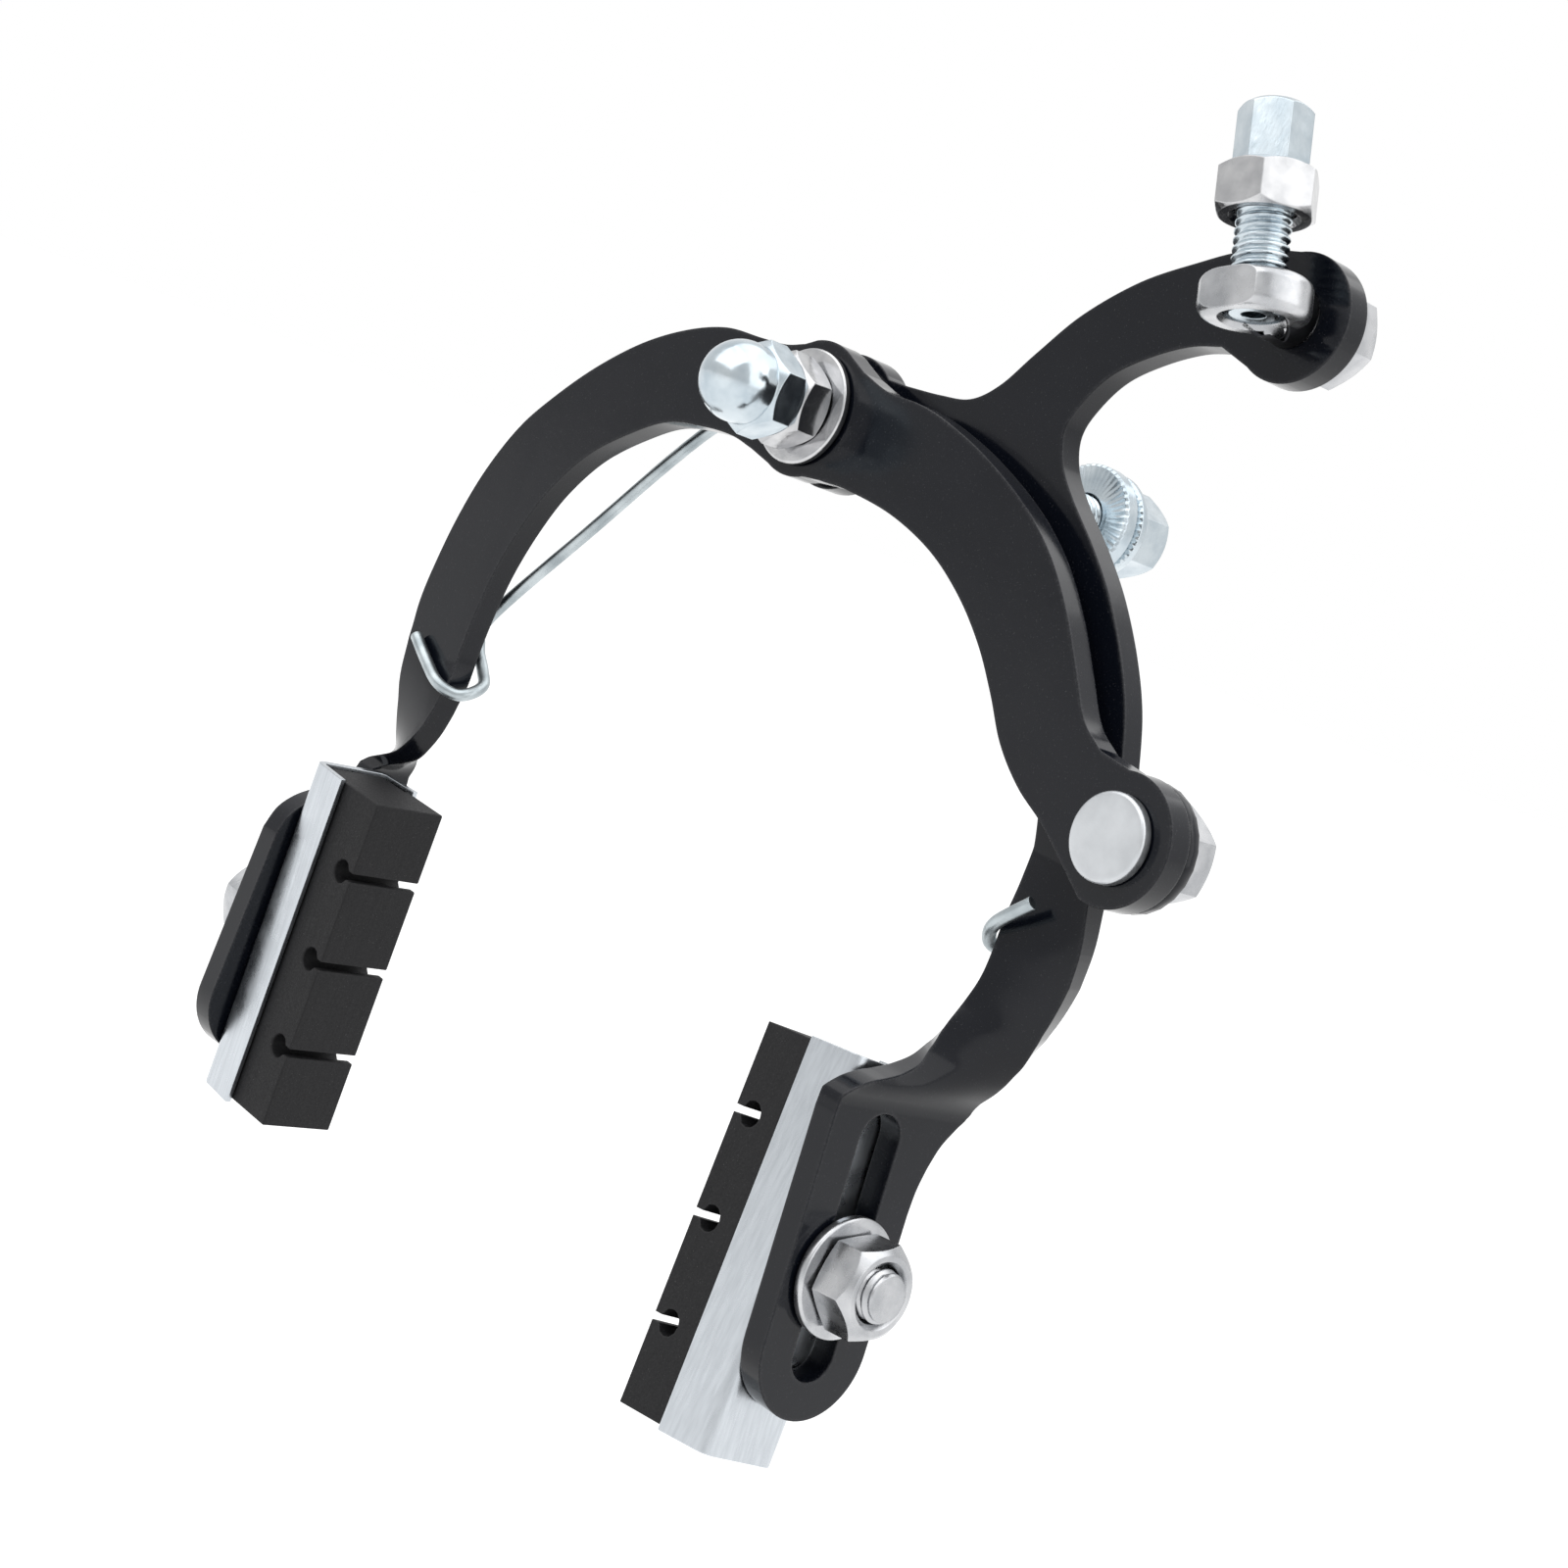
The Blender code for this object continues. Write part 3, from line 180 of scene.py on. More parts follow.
def enamel():
    """Thick glossy black enamel on the stamped arms: slight orange peel, dust, and paler speckled edges, a
    painted highlight on rough, dusty edges.
    """
    made, tree, shader = new_material("black_enamel")
    cloud = noise(tree, 60, 4)
    speck = ranged(tree, noise(tree, 5200, 2), 0.66, 0.74, 0.0, 1.0)
    # Speckled paler, rougher edges: a painted highlight along the rounded edges, on some dust
    highlight_speckle = ranged(tree, noise(tree, 2600, 4), 0.42, 0.62, 0.25, 1.0)
    edge = maths(tree, "MULTIPLY", edge_mask(tree, ARM_EDGE), highlight_speckle)
    base = mixed(tree, cloud, colour("0a0d14"), colour("10131b"))
    dusted = mixed(tree, maths(tree, "MULTIPLY", speck, 0.35), base, colour("5a5a5c"))
    # The paler edge colour mixed in here is a painted highlight
    edge_highlighted = mixed(tree, maths(tree, "MULTIPLY", edge, 0.4), dusted, colour("47474a"))
    gloss = ranged(tree, noise(tree, 150, 5), 0.3, 0.7, 0.09, 0.19)
    rough = maths(tree, "ADD", gloss, maths(tree, "MULTIPLY", edge, 0.16))
    fine = maths(tree, "MULTIPLY", noise(tree, 2400, 2), 0.12)
    peel = maths(tree, "ADD", noise(tree, 420, 2), fine)
    join(tree, shader, Base_Color=edge_highlighted, Roughness=rough, Specular_IOR_Level=0.26, Coat_Weight=0.05,
         Coat_Roughness=0.12, Normal=bump(tree, peel, 0.02, 0.55, 0.25))
    return made


def plated(name, tint, dull, gloss, streak=(1, 1, 1), rounding=0.18):
    """Plated steel: clouds of a tint and a duller one, smudges within a range of roughness, fine marks."""
    made, tree, shader = new_material(name)
    cloud = ranged(tree, noise(tree, 260, 5), 0.35, 0.65, 0.0, 1.0)
    base = mixed(tree, cloud, colour(tint), colour(dull))
    rough = ranged(tree, noise(tree, 700, 6), 0.3, 0.7, *gloss)
    fine = noise(tree, 3000, 3, streak)
    height = maths(tree, "ADD", fine, maths(tree, "MULTIPLY", noise(tree, 500, 2), 0.6))
    join(tree, shader, Base_Color=base, Metallic=1.0, Roughness=rough,
         Normal=bump(tree, height, 0.012, 0.5, rounding))
    return made


def channel_steel():
    """Bright sheet of the shoe channels, with faint rolling lines lengthwise."""
    made, tree, shader = new_material("channel_steel")
    lines = noise(tree, 2200, 4, (1, 1, 0.03), (0, 0.06, 0))
    base = mixed(tree, ranged(tree, lines, 0.35, 0.65, 0.0, 1.0), colour("c5cacf"), colour("babfc4"))
    rough = ranged(tree, noise(tree, 300, 5), 0.3, 0.7, 0.22, 0.34)
    join(tree, shader, Base_Color=base, Metallic=1.0, Roughness=rough, Normal=bump(tree, lines, 0.01, 0.06))
    return made


def shoe_rubber():
    """Moulded and sawn black rubber: matt, fine-grained, with faint saw lines and dusty edges."""
    made, tree, shader = new_material("shoe_rubber")
    grain = noise(tree, 3800, 4)
    saw = noise(tree, 1500, 3, (1, 1, 0.12), (0, 0.5, 0))
    speck = ranged(tree, noise(tree, 6500, 2), 0.68, 0.76, 0.0, 0.5)
    base = mixed(tree, ranged(tree, saw, 0.3, 0.7, 0.0, 1.0), colour("131315"), colour("19191b"))
    dusted = mixed(tree, speck, base, colour("6a6a6a"))
    edged = mixed(tree, maths(tree, "MULTIPLY", edge_mask(tree, 0.35), 0.25), dusted, colour("4b4b4c"))
    height = maths(tree, "ADD", grain, maths(tree, "MULTIPLY", saw, 0.25))
    join(tree, shader, Base_Color=edged, Roughness=ranged(tree, grain, 0.3, 0.7, 0.55, 0.72),
         Specular_IOR_Level=0.3, Normal=bump(tree, height, 0.03, 0.7, 0.2))
    return made


# Black enamel of both arms and of the anchor's washer; its painted edge highlight is as wide as the arms'
# rounding
ARM_EDGE = 0.9
ENAMEL = enamel()
# Blue-white zinc of the centre bolt with its dome nut and rear pieces, and of the adjusting screw
ZINC = plated("zinc_plate", "cad3d8", "adb9c1", (0.12, 0.26), (1, 1, 0.3))
# Nickel-bright lock nuts and washers
CHROME = plated("chrome_plate", "d2d2d3", "b2b3b5", (0.12, 0.26))
# Duller plate of the shoe fastenings, the adjuster's stud and the nuts at the arms' ends
SATIN = plated("satin_plate", "c6c7c9", "a6a8ab", (0.22, 0.34))
# Brushed steel of the anchor bolt, whose head shows
BRUSHED = plated("brushed_head", "cdd0d3", "bfc2c5", (0.34, 0.46), (1, 0.1, 1))
# Drawn wire of the return spring, which has no edges to round
WIRE = plated("spring_wire", "bcc4c7", "98a1a5", (0.30, 0.42), rounding=0.0)
# Neck of the adjuster's stud, coloured dark as painted shade: it lies in shadow under the head and mirrors
# the black arm
PAINTED_SHADE_STEEL = plated("painted_shade_steel", "3a3b3e", "2c2d30", (0.30, 0.42))
# Sheet of the shoes' channels, and rubber of their blocks
CHANNEL = channel_steel()
RUBBER = shoe_rubber()


# Mesh helpers

def metres(matrix):
    """A placement in millimetres turned to one in metres."""
    placed = matrix.copy()
    placed.translation = matrix.translation * MM
    return placed


def linked(name, data):
    """A new object in the scene."""
    obj = bpy.data.objects.new(name, data)
    bpy.context.scene.collection.objects.link(obj)
    return obj


def mesh_object(name, bm, place=Matrix()):
    """An object at the origin whose mesh is moved to its place."""
    bmesh.ops.recalc_face_normals(bm, faces=bm.faces)
    bmesh.ops.transform(bm, matrix=metres(place), verts=bm.verts)
    mesh = bpy.data.meshes.new(name)
    bm.to_mesh(mesh)
    bm.free()
    return linked(name, mesh)


def evaluated_mesh(obj):
    """The mesh of an object or curve with its modifiers applied; the object is used up."""
    bpy.context.view_layer.update()
    evaluated = obj.evaluated_get(bpy.context.evaluated_depsgraph_get())
    mesh = bpy.data.meshes.new_from_object(evaluated)
    bpy.data.objects.remove(obj)
    return mesh


def applied(obj, kind, **settings):
    """The object with a modifier applied, under the same name."""
    name = obj.name
    modifier = obj.modifiers.new(kind.lower(), kind)
    for key, value in settings.items():
        setattr(modifier, key, value)
    mesh = evaluated_mesh(obj)
    mesh.name = name
    return linked(name, mesh)


def softened(obj, width, angle):
    """The object with the edges above an angle in degrees bevelled by a width in millimetres."""
    return applied(obj, "BEVEL", width=width * MM, segments=2, limit_method="ANGLE",
                   angle_limit=math.radians(angle))


def dressed(obj, finish, node_name, angle=SHARP, normals=None):
    """Shades a finished piece, gives it its material, and puts it in the place of its CAD node."""
    obj.data.materials.clear()
    obj.data.materials.append(finish)
    obj.data.shade_smooth()
    if normals:
        obj.data.normals_split_custom_set_from_vertices(normals)
    else:
        obj.data.set_sharp_from_angle(angle=math.radians(angle))
        obj = applied(obj, "WEIGHTED_NORMAL", keep_sharp=True)
    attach(obj, BODY_OF[node_name])
    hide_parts(node_name)


def merged_copy(node_name):
    """The CAD node's shape with its loose triangles joined, as a bmesh."""
    bm = bmesh.new()
    bm.from_mesh(frame["nodes"][node_name].data)
    bmesh.ops.remove_doubles(bm, verts=bm.verts, dist=CAD_WELD)
    return bm


def smooth_copy(node_name, finish, name):
    """A CAD node's own shape as one smoothly shaded piece."""
    dressed(mesh_object(name, merged_copy(node_name)), finish, node_name)


def corner_radius(across_flats):
    """The radius of a hexagon's corners."""
    return across_flats / 2 / math.cos(math.pi / 6)


def revolved(name, profile, place=BOLT_AXIS, steps=96):
    """A closed profile of (radius, height) points in millimetres, turned about local Z."""
    bm = bmesh.new()
    verts = [bm.verts.new((radius * MM, 0, height * MM)) for radius, height in profile]
    for a, b in zip(verts, verts[1:] + verts[:1]):
        if (a.co - b.co).length > 0 and not (a.co.x == 0 and b.co.x == 0):
            bm.edges.new((a, b))
    bmesh.ops.spin(bm, geom=[*bm.verts, *bm.edges], axis=(0, 0, 1), cent=(0, 0, 0), steps=steps,
                   angle=2 * math.pi, use_merge=True)
    bmesh.ops.remove_doubles(bm, verts=bm.verts, dist=WELD)
    return mesh_object(name, bm, place)


def prism(name, across_flats, low, high, place=BOLT_AXIS):
    """A hexagonal bar between two heights."""
    radius = corner_radius(across_flats) * MM
    bm = bmesh.new()
    bmesh.ops.create_cone(bm, cap_ends=True, segments=6, radius1=radius, radius2=radius,
                          depth=(high - low) * MM)
    bmesh.ops.translate(bm, verts=bm.verts, vec=(0, 0, (low + high) / 2 * MM))
    return mesh_object(name, bm, place)


def combined(obj, tool, operation):
    """The object cut by or joined with a tool, which is used up."""
    made = applied(obj, "BOOLEAN", object=tool, operation=operation, solver="EXACT")
    bpy.data.objects.remove(tool)
    return made


def bevelled_nut(name, finish, node_name, low, high, place=BOLT_AXIS, chamfers=(0.7, 0.7), washer_face=0.0):
    """A finished nut with turned chamfers, a countersunk bore and, if asked, a raised washer face."""
    corner = corner_radius(NUT_AF) + CORNER_SPARE
    flat = NUT_AF / 2 - CHAMFER_IN
    sink = 0.55
    profile = [(BORE_R + sink, low), (flat, low), (corner, low + chamfers[0]), (corner, high - chamfers[1]),
               (flat - washer_face, high), (BORE_R + sink, high), (BORE_R, high - sink),
               (BORE_R, low + sink)]
    hexagon = prism(name + "_prism", NUT_AF, low - PAST, high + PAST, place)
    nut = combined(revolved(name, profile, place), hexagon, "INTERSECT")
    dressed(nut, finish, node_name, angle=NUT_SHARP)


def ridge(turns):
    """0 at every whole turn, 1 halfway between two, and straight in between."""
    return 1 - abs(2 * (turns % 1.0) - 1)


def open_edges(bm):
    """The edges that have a face on one side only."""
    return [edge for edge in bm.edges if edge.is_boundary]


def new_verts(made):
    """The vertices among the geometry that an operator returns."""
    return [part for part in made["geom"] if isinstance(part, bmesh.types.BMVert)]


# Columns round a thread and rows in its pitch, and the height over which it fades at its ends
THREAD_COLUMNS = 48
THREAD_ROWS = 9
THREAD_RUNOUT = 0.7
# Widens the thread's ridges to flat crests and flat roots
CREST_GAIN = 1.35
ROOT_DROP = 0.1


def threaded_rod(name, low, high, place=BOLT_AXIS, bore=0.0):
    """An M6 rod or tube: a rolled-up grid whose thread fades to its root at both ends."""
    rows = max(2, round((high - low) / (THREAD_PITCH / THREAD_ROWS)))
    heights = [low + (high - low) * i / rows for i in range(rows + 1)]
    bm = bmesh.new()
    bmesh.ops.create_grid(bm, x_segments=THREAD_COLUMNS, y_segments=rows, size=1.0)
    for vert in bm.verts:
        turn = (vert.co.x + 1) / 2
        height = heights[round((vert.co.y + 1) / 2 * rows)]
        crest = min(1.0, max(0.0, CREST_GAIN * ridge(height / THREAD_PITCH - turn) - ROOT_DROP))
        fade = min(1.0, (height - low) / THREAD_RUNOUT, (high - height) / THREAD_RUNOUT)
        radius = THREAD_R - THREAD_DEPTH + THREAD_DEPTH * crest * fade
        angle = 2 * math.pi * turn
        vert.co = Vector((radius * math.cos(angle), radius * math.sin(angle), height)) * MM
    bmesh.ops.remove_doubles(bm, verts=bm.verts, dist=WELD)
    if bore:
        top = [e for e in open_edges(bm) if e.verts[0].co.z > (low + high) / 2 * MM]
        bottom = [e for e in open_edges(bm) if e not in top]
        for rim, height in ((top, high), (bottom, low)):
            for vert in new_verts(bmesh.ops.extrude_edge_only(bm, edges=rim)):
                scale = bore * MM / vert.co.xy.length
                vert.co = Vector((vert.co.x * scale, vert.co.y * scale, height * MM))
        bmesh.ops.bridge_loops(bm, edges=open_edges(bm))
    else:
        bmesh.ops.holes_fill(bm, edges=open_edges(bm), sides=0)
    return mesh_object(name, bm, place)


def arc_points(centre, radius, start, end, steps):
    """Points on an arc between two angles in degrees."""
    angles = [math.radians(start + (end - start) * i / steps) for i in range(steps + 1)]
    return [(centre[0] + radius * math.cos(a), centre[1] + radius * math.sin(a)) for a in angles]


def cylinder(name, radius, low, high, place=BOLT_AXIS):
    """A plain round bar between two heights."""
    return revolved(name, [(0, low), (radius, low), (radius, high), (0, high)], place)


def add_line(data, places, cyclic=False):
    """Adds straight stretches through places in millimetres, flat or not, to a curve."""
    line = data.splines.new("POLY")
    line.points.add(len(places) - 1)
    for point, place in zip(line.points, places):
        x, y, z = (*place, 0)[:3]
        point.co = (x * MM, y * MM, z * MM, 1)
    line.use_cyclic_u = cyclic


def curve_mesh(data, weld):
    """The mesh that a curve makes, with its points joined, as a bmesh."""
    bm = bmesh.new()
    bm.from_mesh(evaluated_mesh(linked(data.name + "_curve", data)))
    bmesh.ops.remove_doubles(bm, verts=bm.verts, dist=weld)
    return bm


def round_rims(bm, radius, segments):
    """Rounds the rims of a bar or a wire."""
    rims = [edge for edge in bm.edges if edge.calc_face_angle(0) > RIM_ANGLE]
    bmesh.ops.bevel(bm, geom=rims, offset=radius * MM, segments=segments, profile=0.5, affect="EDGES",
                    clamp_overlap=True, material=-1)


# Arms

ARM_THICKNESS = 3.2
# The front arm's back lies at Y = 0
FRONT_FACE = -ARM_THICKNESS
REAR_ARM_FRONT = 2.55
REAR_ARM_BACK = REAR_ARM_FRONT + ARM_THICKNESS
# Places and outer radii of the eyes: on the centre bolt, at the cable's anchor and at its adjuster
PIVOT = (0, 0)
PIVOT_R = 8.3
ANCHOR = (66.6, -30.9)
ANCHOR_EYE_R = 7.4
UPPER_EYE = (58.5, 26.5)
UPPER_EYE_R = 7.2
# The slotted ends: slot, bar below it, width, distance from the bolt at the stud, middle along the bolt
SLOT_WIDTH = 6.2
SLOT_LENGTH = 30.0
SLOT_END_BAR = 4.4
PLATE_WIDTH = 16.0
PLATE_REACH = 54.9
SLOT_Y = -7.0
# Points on half a slot's end, on a limb's round tip and on an eye, and between two points of a spline
SLOT_STEPS = 28
TIP_STEPS = 36
EYE_STEPS = 48
SPLINE_STEPS = 8
# Points of an outline that lie closer than this are one
POINT_GAP = 0.12

# Each arm's folded side: outer edge and middle plane of the flat bar, top of the slot, lean of the slotted
# end, and height and turn of the shoe's stud
SIDES = {
    "left": {"sign": -1, "edge_x": -56.2, "edge_y": FRONT_FACE + ARM_THICKNESS / 2, "slot_top": -71.1,
             "lean": 2.75, "stud_z": -86.5, "turn": 2.75},
    "right": {"sign": 1, "edge_x": 63.5, "edge_y": REAR_ARM_FRONT + ARM_THICKNESS / 2, "slot_top": -67.6,
              "lean": 5.6, "stud_z": -85.7, "turn": -6.4},
}
# Width of the flat limb above its slotted end, at heights, and how far its outer edge stands out there
INNER_EDGE = {
    "left": (
        (-49.0, 11.2), (-52.0, 10.3), (-54.0, 9.2), (-56.0, 8.0), (-58.0, 6.6), (-60.0, 5.6), (-62.0, 5.3),
        (-64.0, 5.4), (-66.0, 6.4), (-67.6, 8.6), (-68.8, 11.0), (-70.2, 13.3), (-72.2, 15.1),
        (-75.0, 16.0)),
    "right": (
        (-48.0, 9.9), (-51.0, 9.55), (-55.0, 9.45), (-57.5, 8.9), (-59.6, 7.8), (-61.4, 7.4), (-62.7, 8.6),
        (-63.5, 10.6), (-64.1, 12.8), (-65.0, 14.6), (-66.4, 15.7), (-68.5, 16.0)),
}
OUTER_FLARE = {
    "left": (
        (-73.0, 0.0), (-70.5, 0.3), (-68.0, 0.8), (-66.0, 1.1), (-64.0, 0.9), (-62.0, 0.5), (-60.0, 0.1)),
    "right": (
        (-78.0, 0.0), (-75.5, 0.2), (-73.5, 0.65), (-72.0, 1.15), (-70.0, 2.05), (-68.0, 3.6), (-66.6, 4.8),
        (-65.2, 4.8), (-64.0, 4.2), (-62.0, 3.1), (-60.0, 2.0), (-58.0, 1.0), (-56.0, 0.3), (-54.0, 0.0)),
}
# The fold: height, twist in degrees, and the place of the outer edge there
FOLD = {
    "left": (
        (-46.0, 0.0, -56.2, -1.6), (-50.0, 4.0, -55.4, -1.6), (-52.0, 6.0, -54.75, -1.55),
        (-54.0, 9.0, -53.8, -1.45), (-56.0, 13.0, -53.0, -1.3), (-58.0, 21.0, -52.3, -0.95),
        (-60.0, 36.0, -52.0, -0.3), (-61.2, 55.0, -52.4, 0.3), (-62.4, 76.0, -53.1, 0.8),
        (-63.6, 90.0, -53.8, 1.0)),
    "right": (
        (-36.0, 0.0, 63.5, 4.15), (-40.0, 6.0, 63.5, 4.15), (-45.0, 14.0, 63.45, 4.15),
        (-50.0, 19.0, 62.9, 4.15), (-54.0, 25.0, 61.9, 4.15), (-56.0, 32.0, 60.95, 4.1),
        (-58.0, 40.0, 59.5, 3.85), (-60.0, 52.0, 57.5, 3.2), (-62.0, 70.0, 55.8, 2.2),
        (-64.0, 86.0, 54.4, 1.25), (-65.2, 90.0, 53.6, 1.0), (-66.6, 90.0, 53.03, 1.0)),
}


def spline(points):
    """A Catmull-Rom curve through the points."""
    knots = [Vector(p) for p in points]
    through = [2 * knots[0] - knots[1], *knots, 2 * knots[-1] - knots[-2]]
    curve = []
    for a, b, c, d in zip(through, through[1:], through[2:], through[3:]):
        for i in range(SPLINE_STEPS):
            t = i / SPLINE_STEPS
            curve.append(0.5 * (2 * b + (c - a) * t + (2 * a - 5 * b + 4 * c - d) * t ** 2
                                + (3 * b - a - 3 * c + d) * t ** 3))
    return [*curve, knots[-1]]


def closed(*stretches):
    """One outline from stretches that follow each other, without repeated points."""
    points = []
    for point in (Vector(p) for stretch in stretches for p in stretch):
        if not points or (point - points[-1]).length > POINT_GAP:
            points.append(point)
    if (points[0] - points[-1]).length < POINT_GAP:
        points.pop()
    return points


def limb(side):
    """Inner edge, round tip and outer edge of a slotted limb in the flat bar."""
    data = SIDES[side]
    outward = data["sign"]
    radius = PLATE_WIDTH / 2
    middle = (data["edge_x"] - outward * radius, data["slot_top"] - SLOT_LENGTH - SLOT_END_BAR + radius)
    inner = [(data["edge_x"] - outward * width, height) for height, width in INNER_EDGE[side]]
    start, end = (0, -180) if outward < 0 else (180, 360)
    tip = arc_points(middle, radius, start, end, TIP_STEPS)
    outer = [(data["edge_x"] + outward * flare, height) for height, flare in OUTER_FLARE[side]]
    return inner, tip, outer


def front_outline():
    """The flat front arm: down to the left shoe, and to the cable's anchor on the right."""
    inner, tip, outer = limb("left")
    right_top = [
        (6.7, 6.1), (11.6, 4.9), (16.7, 4.8), (21.8, 4.0), (28.9, 2.0), (37.0, -1.4), (43.5, -5.5),
        (48.9, -10.7), (53.2, -16.1), (56.8, -20.7), (60.4, -23.0)]
    right_bottom = [
        (61.8, -36.0), (56.8, -32.8), (51.6, -30.2), (47.0, -26.7), (43.1, -22.2), (38.8, -17.8),
        (33.4, -13.7), (26.9, -10.3), (19.1, -8.1), (11.0, -7.3), (6.0, -7.4)]
    left_bottom = [
        (-6.8, -6.8), (-10.8, -6.2), (-15.9, -6.4), (-22.7, -7.5), (-28.9, -10.7), (-34.9, -15.1),
        (-39.4, -20.7), (-42.2, -26.6), (-44.1, -33.0), (-44.9, -39.2), (-45.1, -45.0), *inner]
    left_top = [
        *outer, (-56.2, -54.0), (-56.2, -46.0), (-56.7, -41.0), (-56.4, -36.0), (-55.3, -29.0),
        (-53.2, -21.9), (-49.8, -15.2), (-45.4, -10.0), (-39.4, -4.4), (-32.5, 0.5), (-25.4, 3.9),
        (-18.6, 5.8), (-12.1, 6.0), (-7.6, 6.2), (-4.4, 7.0)]
    return closed(arc_points(PIVOT, PIVOT_R, 108, 62, 10), spline(right_top),
                  arc_points(ANCHOR, ANCHOR_EYE_R, 102, -103, EYE_STEPS), spline(right_bottom),
                  arc_points(PIVOT, PIVOT_R, -68, -112, 10), spline(left_bottom), tip, spline(left_top))


def rear_outline():
    """The flat rear arm: up to the adjuster, and down past the anchor's nut to the right shoe."""
    inner, tip, outer = limb("right")
    nut_corner = corner_radius(NUT_AF)
    beside_nut = ANCHOR[0] - nut_corner - 0.3
    upper_top = [
        (8.4, 6.5), (14.0, 6.8), (18.7, 7.5), (22.3, 10.1), (25.8, 14.8), (30.3, 20.4), (36.7, 25.7),
        (43.9, 29.6), (48.2, 31.6), (52.2, 32.8)]
    notch = [
        (50.8, 21.4), (46.7, 20.4), (42.0, 18.1), (37.7, 15.0), (35.1, 11.2), (34.1, 7.7), (35.5, 4.2),
        (38.6, 1.0), (44.2, -3.4), (48.8, -7.6), (53.3, -12.9), (56.7, -18.1), (59.1, -23.7),
        (beside_nut, ANCHOR[1] + nut_corner / 2), (beside_nut, ANCHOR[1] - nut_corner / 2), (61.8, -38.6),
        (62.9, -43.0), (63.5, -48.0)]
    bottom = [
        *reversed(inner), (53.0, -43.8), (52.6, -39.6), (51.5, -34.5), (48.7, -27.9), (44.4, -22.2),
        (39.4, -17.0), (32.8, -12.1), (25.0, -8.5), (16.0, -7.0), (9.0, -6.9)]
    return closed(arc_points(PIVOT, PIVOT_R, 310, 52, EYE_STEPS), spline(upper_top),
                  arc_points(UPPER_EYE, UPPER_EYE_R, 108, -118, EYE_STEPS), spline(notch),
                  spline([*reversed(outer)]), [*reversed(tip)], spline(bottom))


def read_table(table, height):
    """The values of a table at a height, on smooth curves through its rows."""
    if height >= table[0][0]:
        return table[0][1:]
    if height <= table[-1][0]:
        return table[-1][1:]
    index = next(i for i in range(len(table) - 1) if table[i + 1][0] <= height)
    before = table[max(index - 1, 0)]
    start, end = table[index], table[index + 1]
    after = table[min(index + 2, len(table) - 1)]
    span = end[0] - start[0]
    t = (height - start[0]) / span
    values = []
    for k in range(1, len(start)):
        slope_in = (end[k] - before[k]) / (end[0] - before[0]) * span
        slope_out = (after[k] - start[k]) / (after[0] - start[0]) * span
        values.append((2 * t ** 3 - 3 * t ** 2 + 1) * start[k] + (t ** 3 - 2 * t ** 2 + t) * slope_in
                      + (3 * t ** 2 - 2 * t ** 3) * end[k] + (t ** 3 - t ** 2) * slope_out)
    return values


def folded(point, side):
    """Where a point of the flat bar lies, in metres, once its limb is twisted about the outer edge."""
    data = SIDES[side]
    height = point.z / MM
    if height >= FOLD[side][0][0]:
        return point
    twist, edge_x, edge_y = read_table(FOLD[side], height)
    if height < FOLD[side][-1][0]:
        slope = math.tan(math.radians(data["lean"]))
        edge_x = data["sign"] * (PLATE_REACH - slope * (height - data["stud_z"]))
    angle = data["sign"] * math.radians(twist)
    across = point.x - data["edge_x"] * MM
    through = point.y - data["edge_y"] * MM
    return Vector((edge_x * MM + across * math.cos(angle) - through * math.sin(angle),
                   edge_y * MM + across * math.sin(angle) + through * math.cos(angle), point.z))


# Height of the limb below the fold's start that is cut for the bend, how far its outline flares past its
# width, and the distances of the cuts along and across it
BENT_HEIGHT = 45
FLARE_REACH = 6
CUT_ALONG = 0.8
CUT_ACROSS = 1.6


def cut_grid(bm, low, high, step, axis):
    """Cuts the mesh along parallel planes, so that a later bend runs smoothly through it."""
    normal = Vector((0, 0, 0))
    normal[axis] = 1
    at = low
    while at <= high:
        bmesh.ops.bisect_plane(bm, geom=[*bm.verts, *bm.edges, *bm.faces], dist=WELD,
                               plane_co=normal * at * MM, plane_no=normal)
        at += step


# Kinds of faces on a bar; where several meet, the highest one gives the vertex its normal
ROUNDED, WALL, BROAD = range(3)
FLAT_WITHIN = 0.001


def plate_normals(bm, layer):
    """Vertex normals that keep broad faces and walls true, so that only the rounded edges turn the light."""
    normals = []
    for vert in bm.verts:
        kind = max(face[layer] for face in vert.link_faces)
        shares = (face.normal * face.calc_area() for face in vert.link_faces if face[layer] == kind)
        normals.append(sum(shares, Vector()).normalized())
    return normals


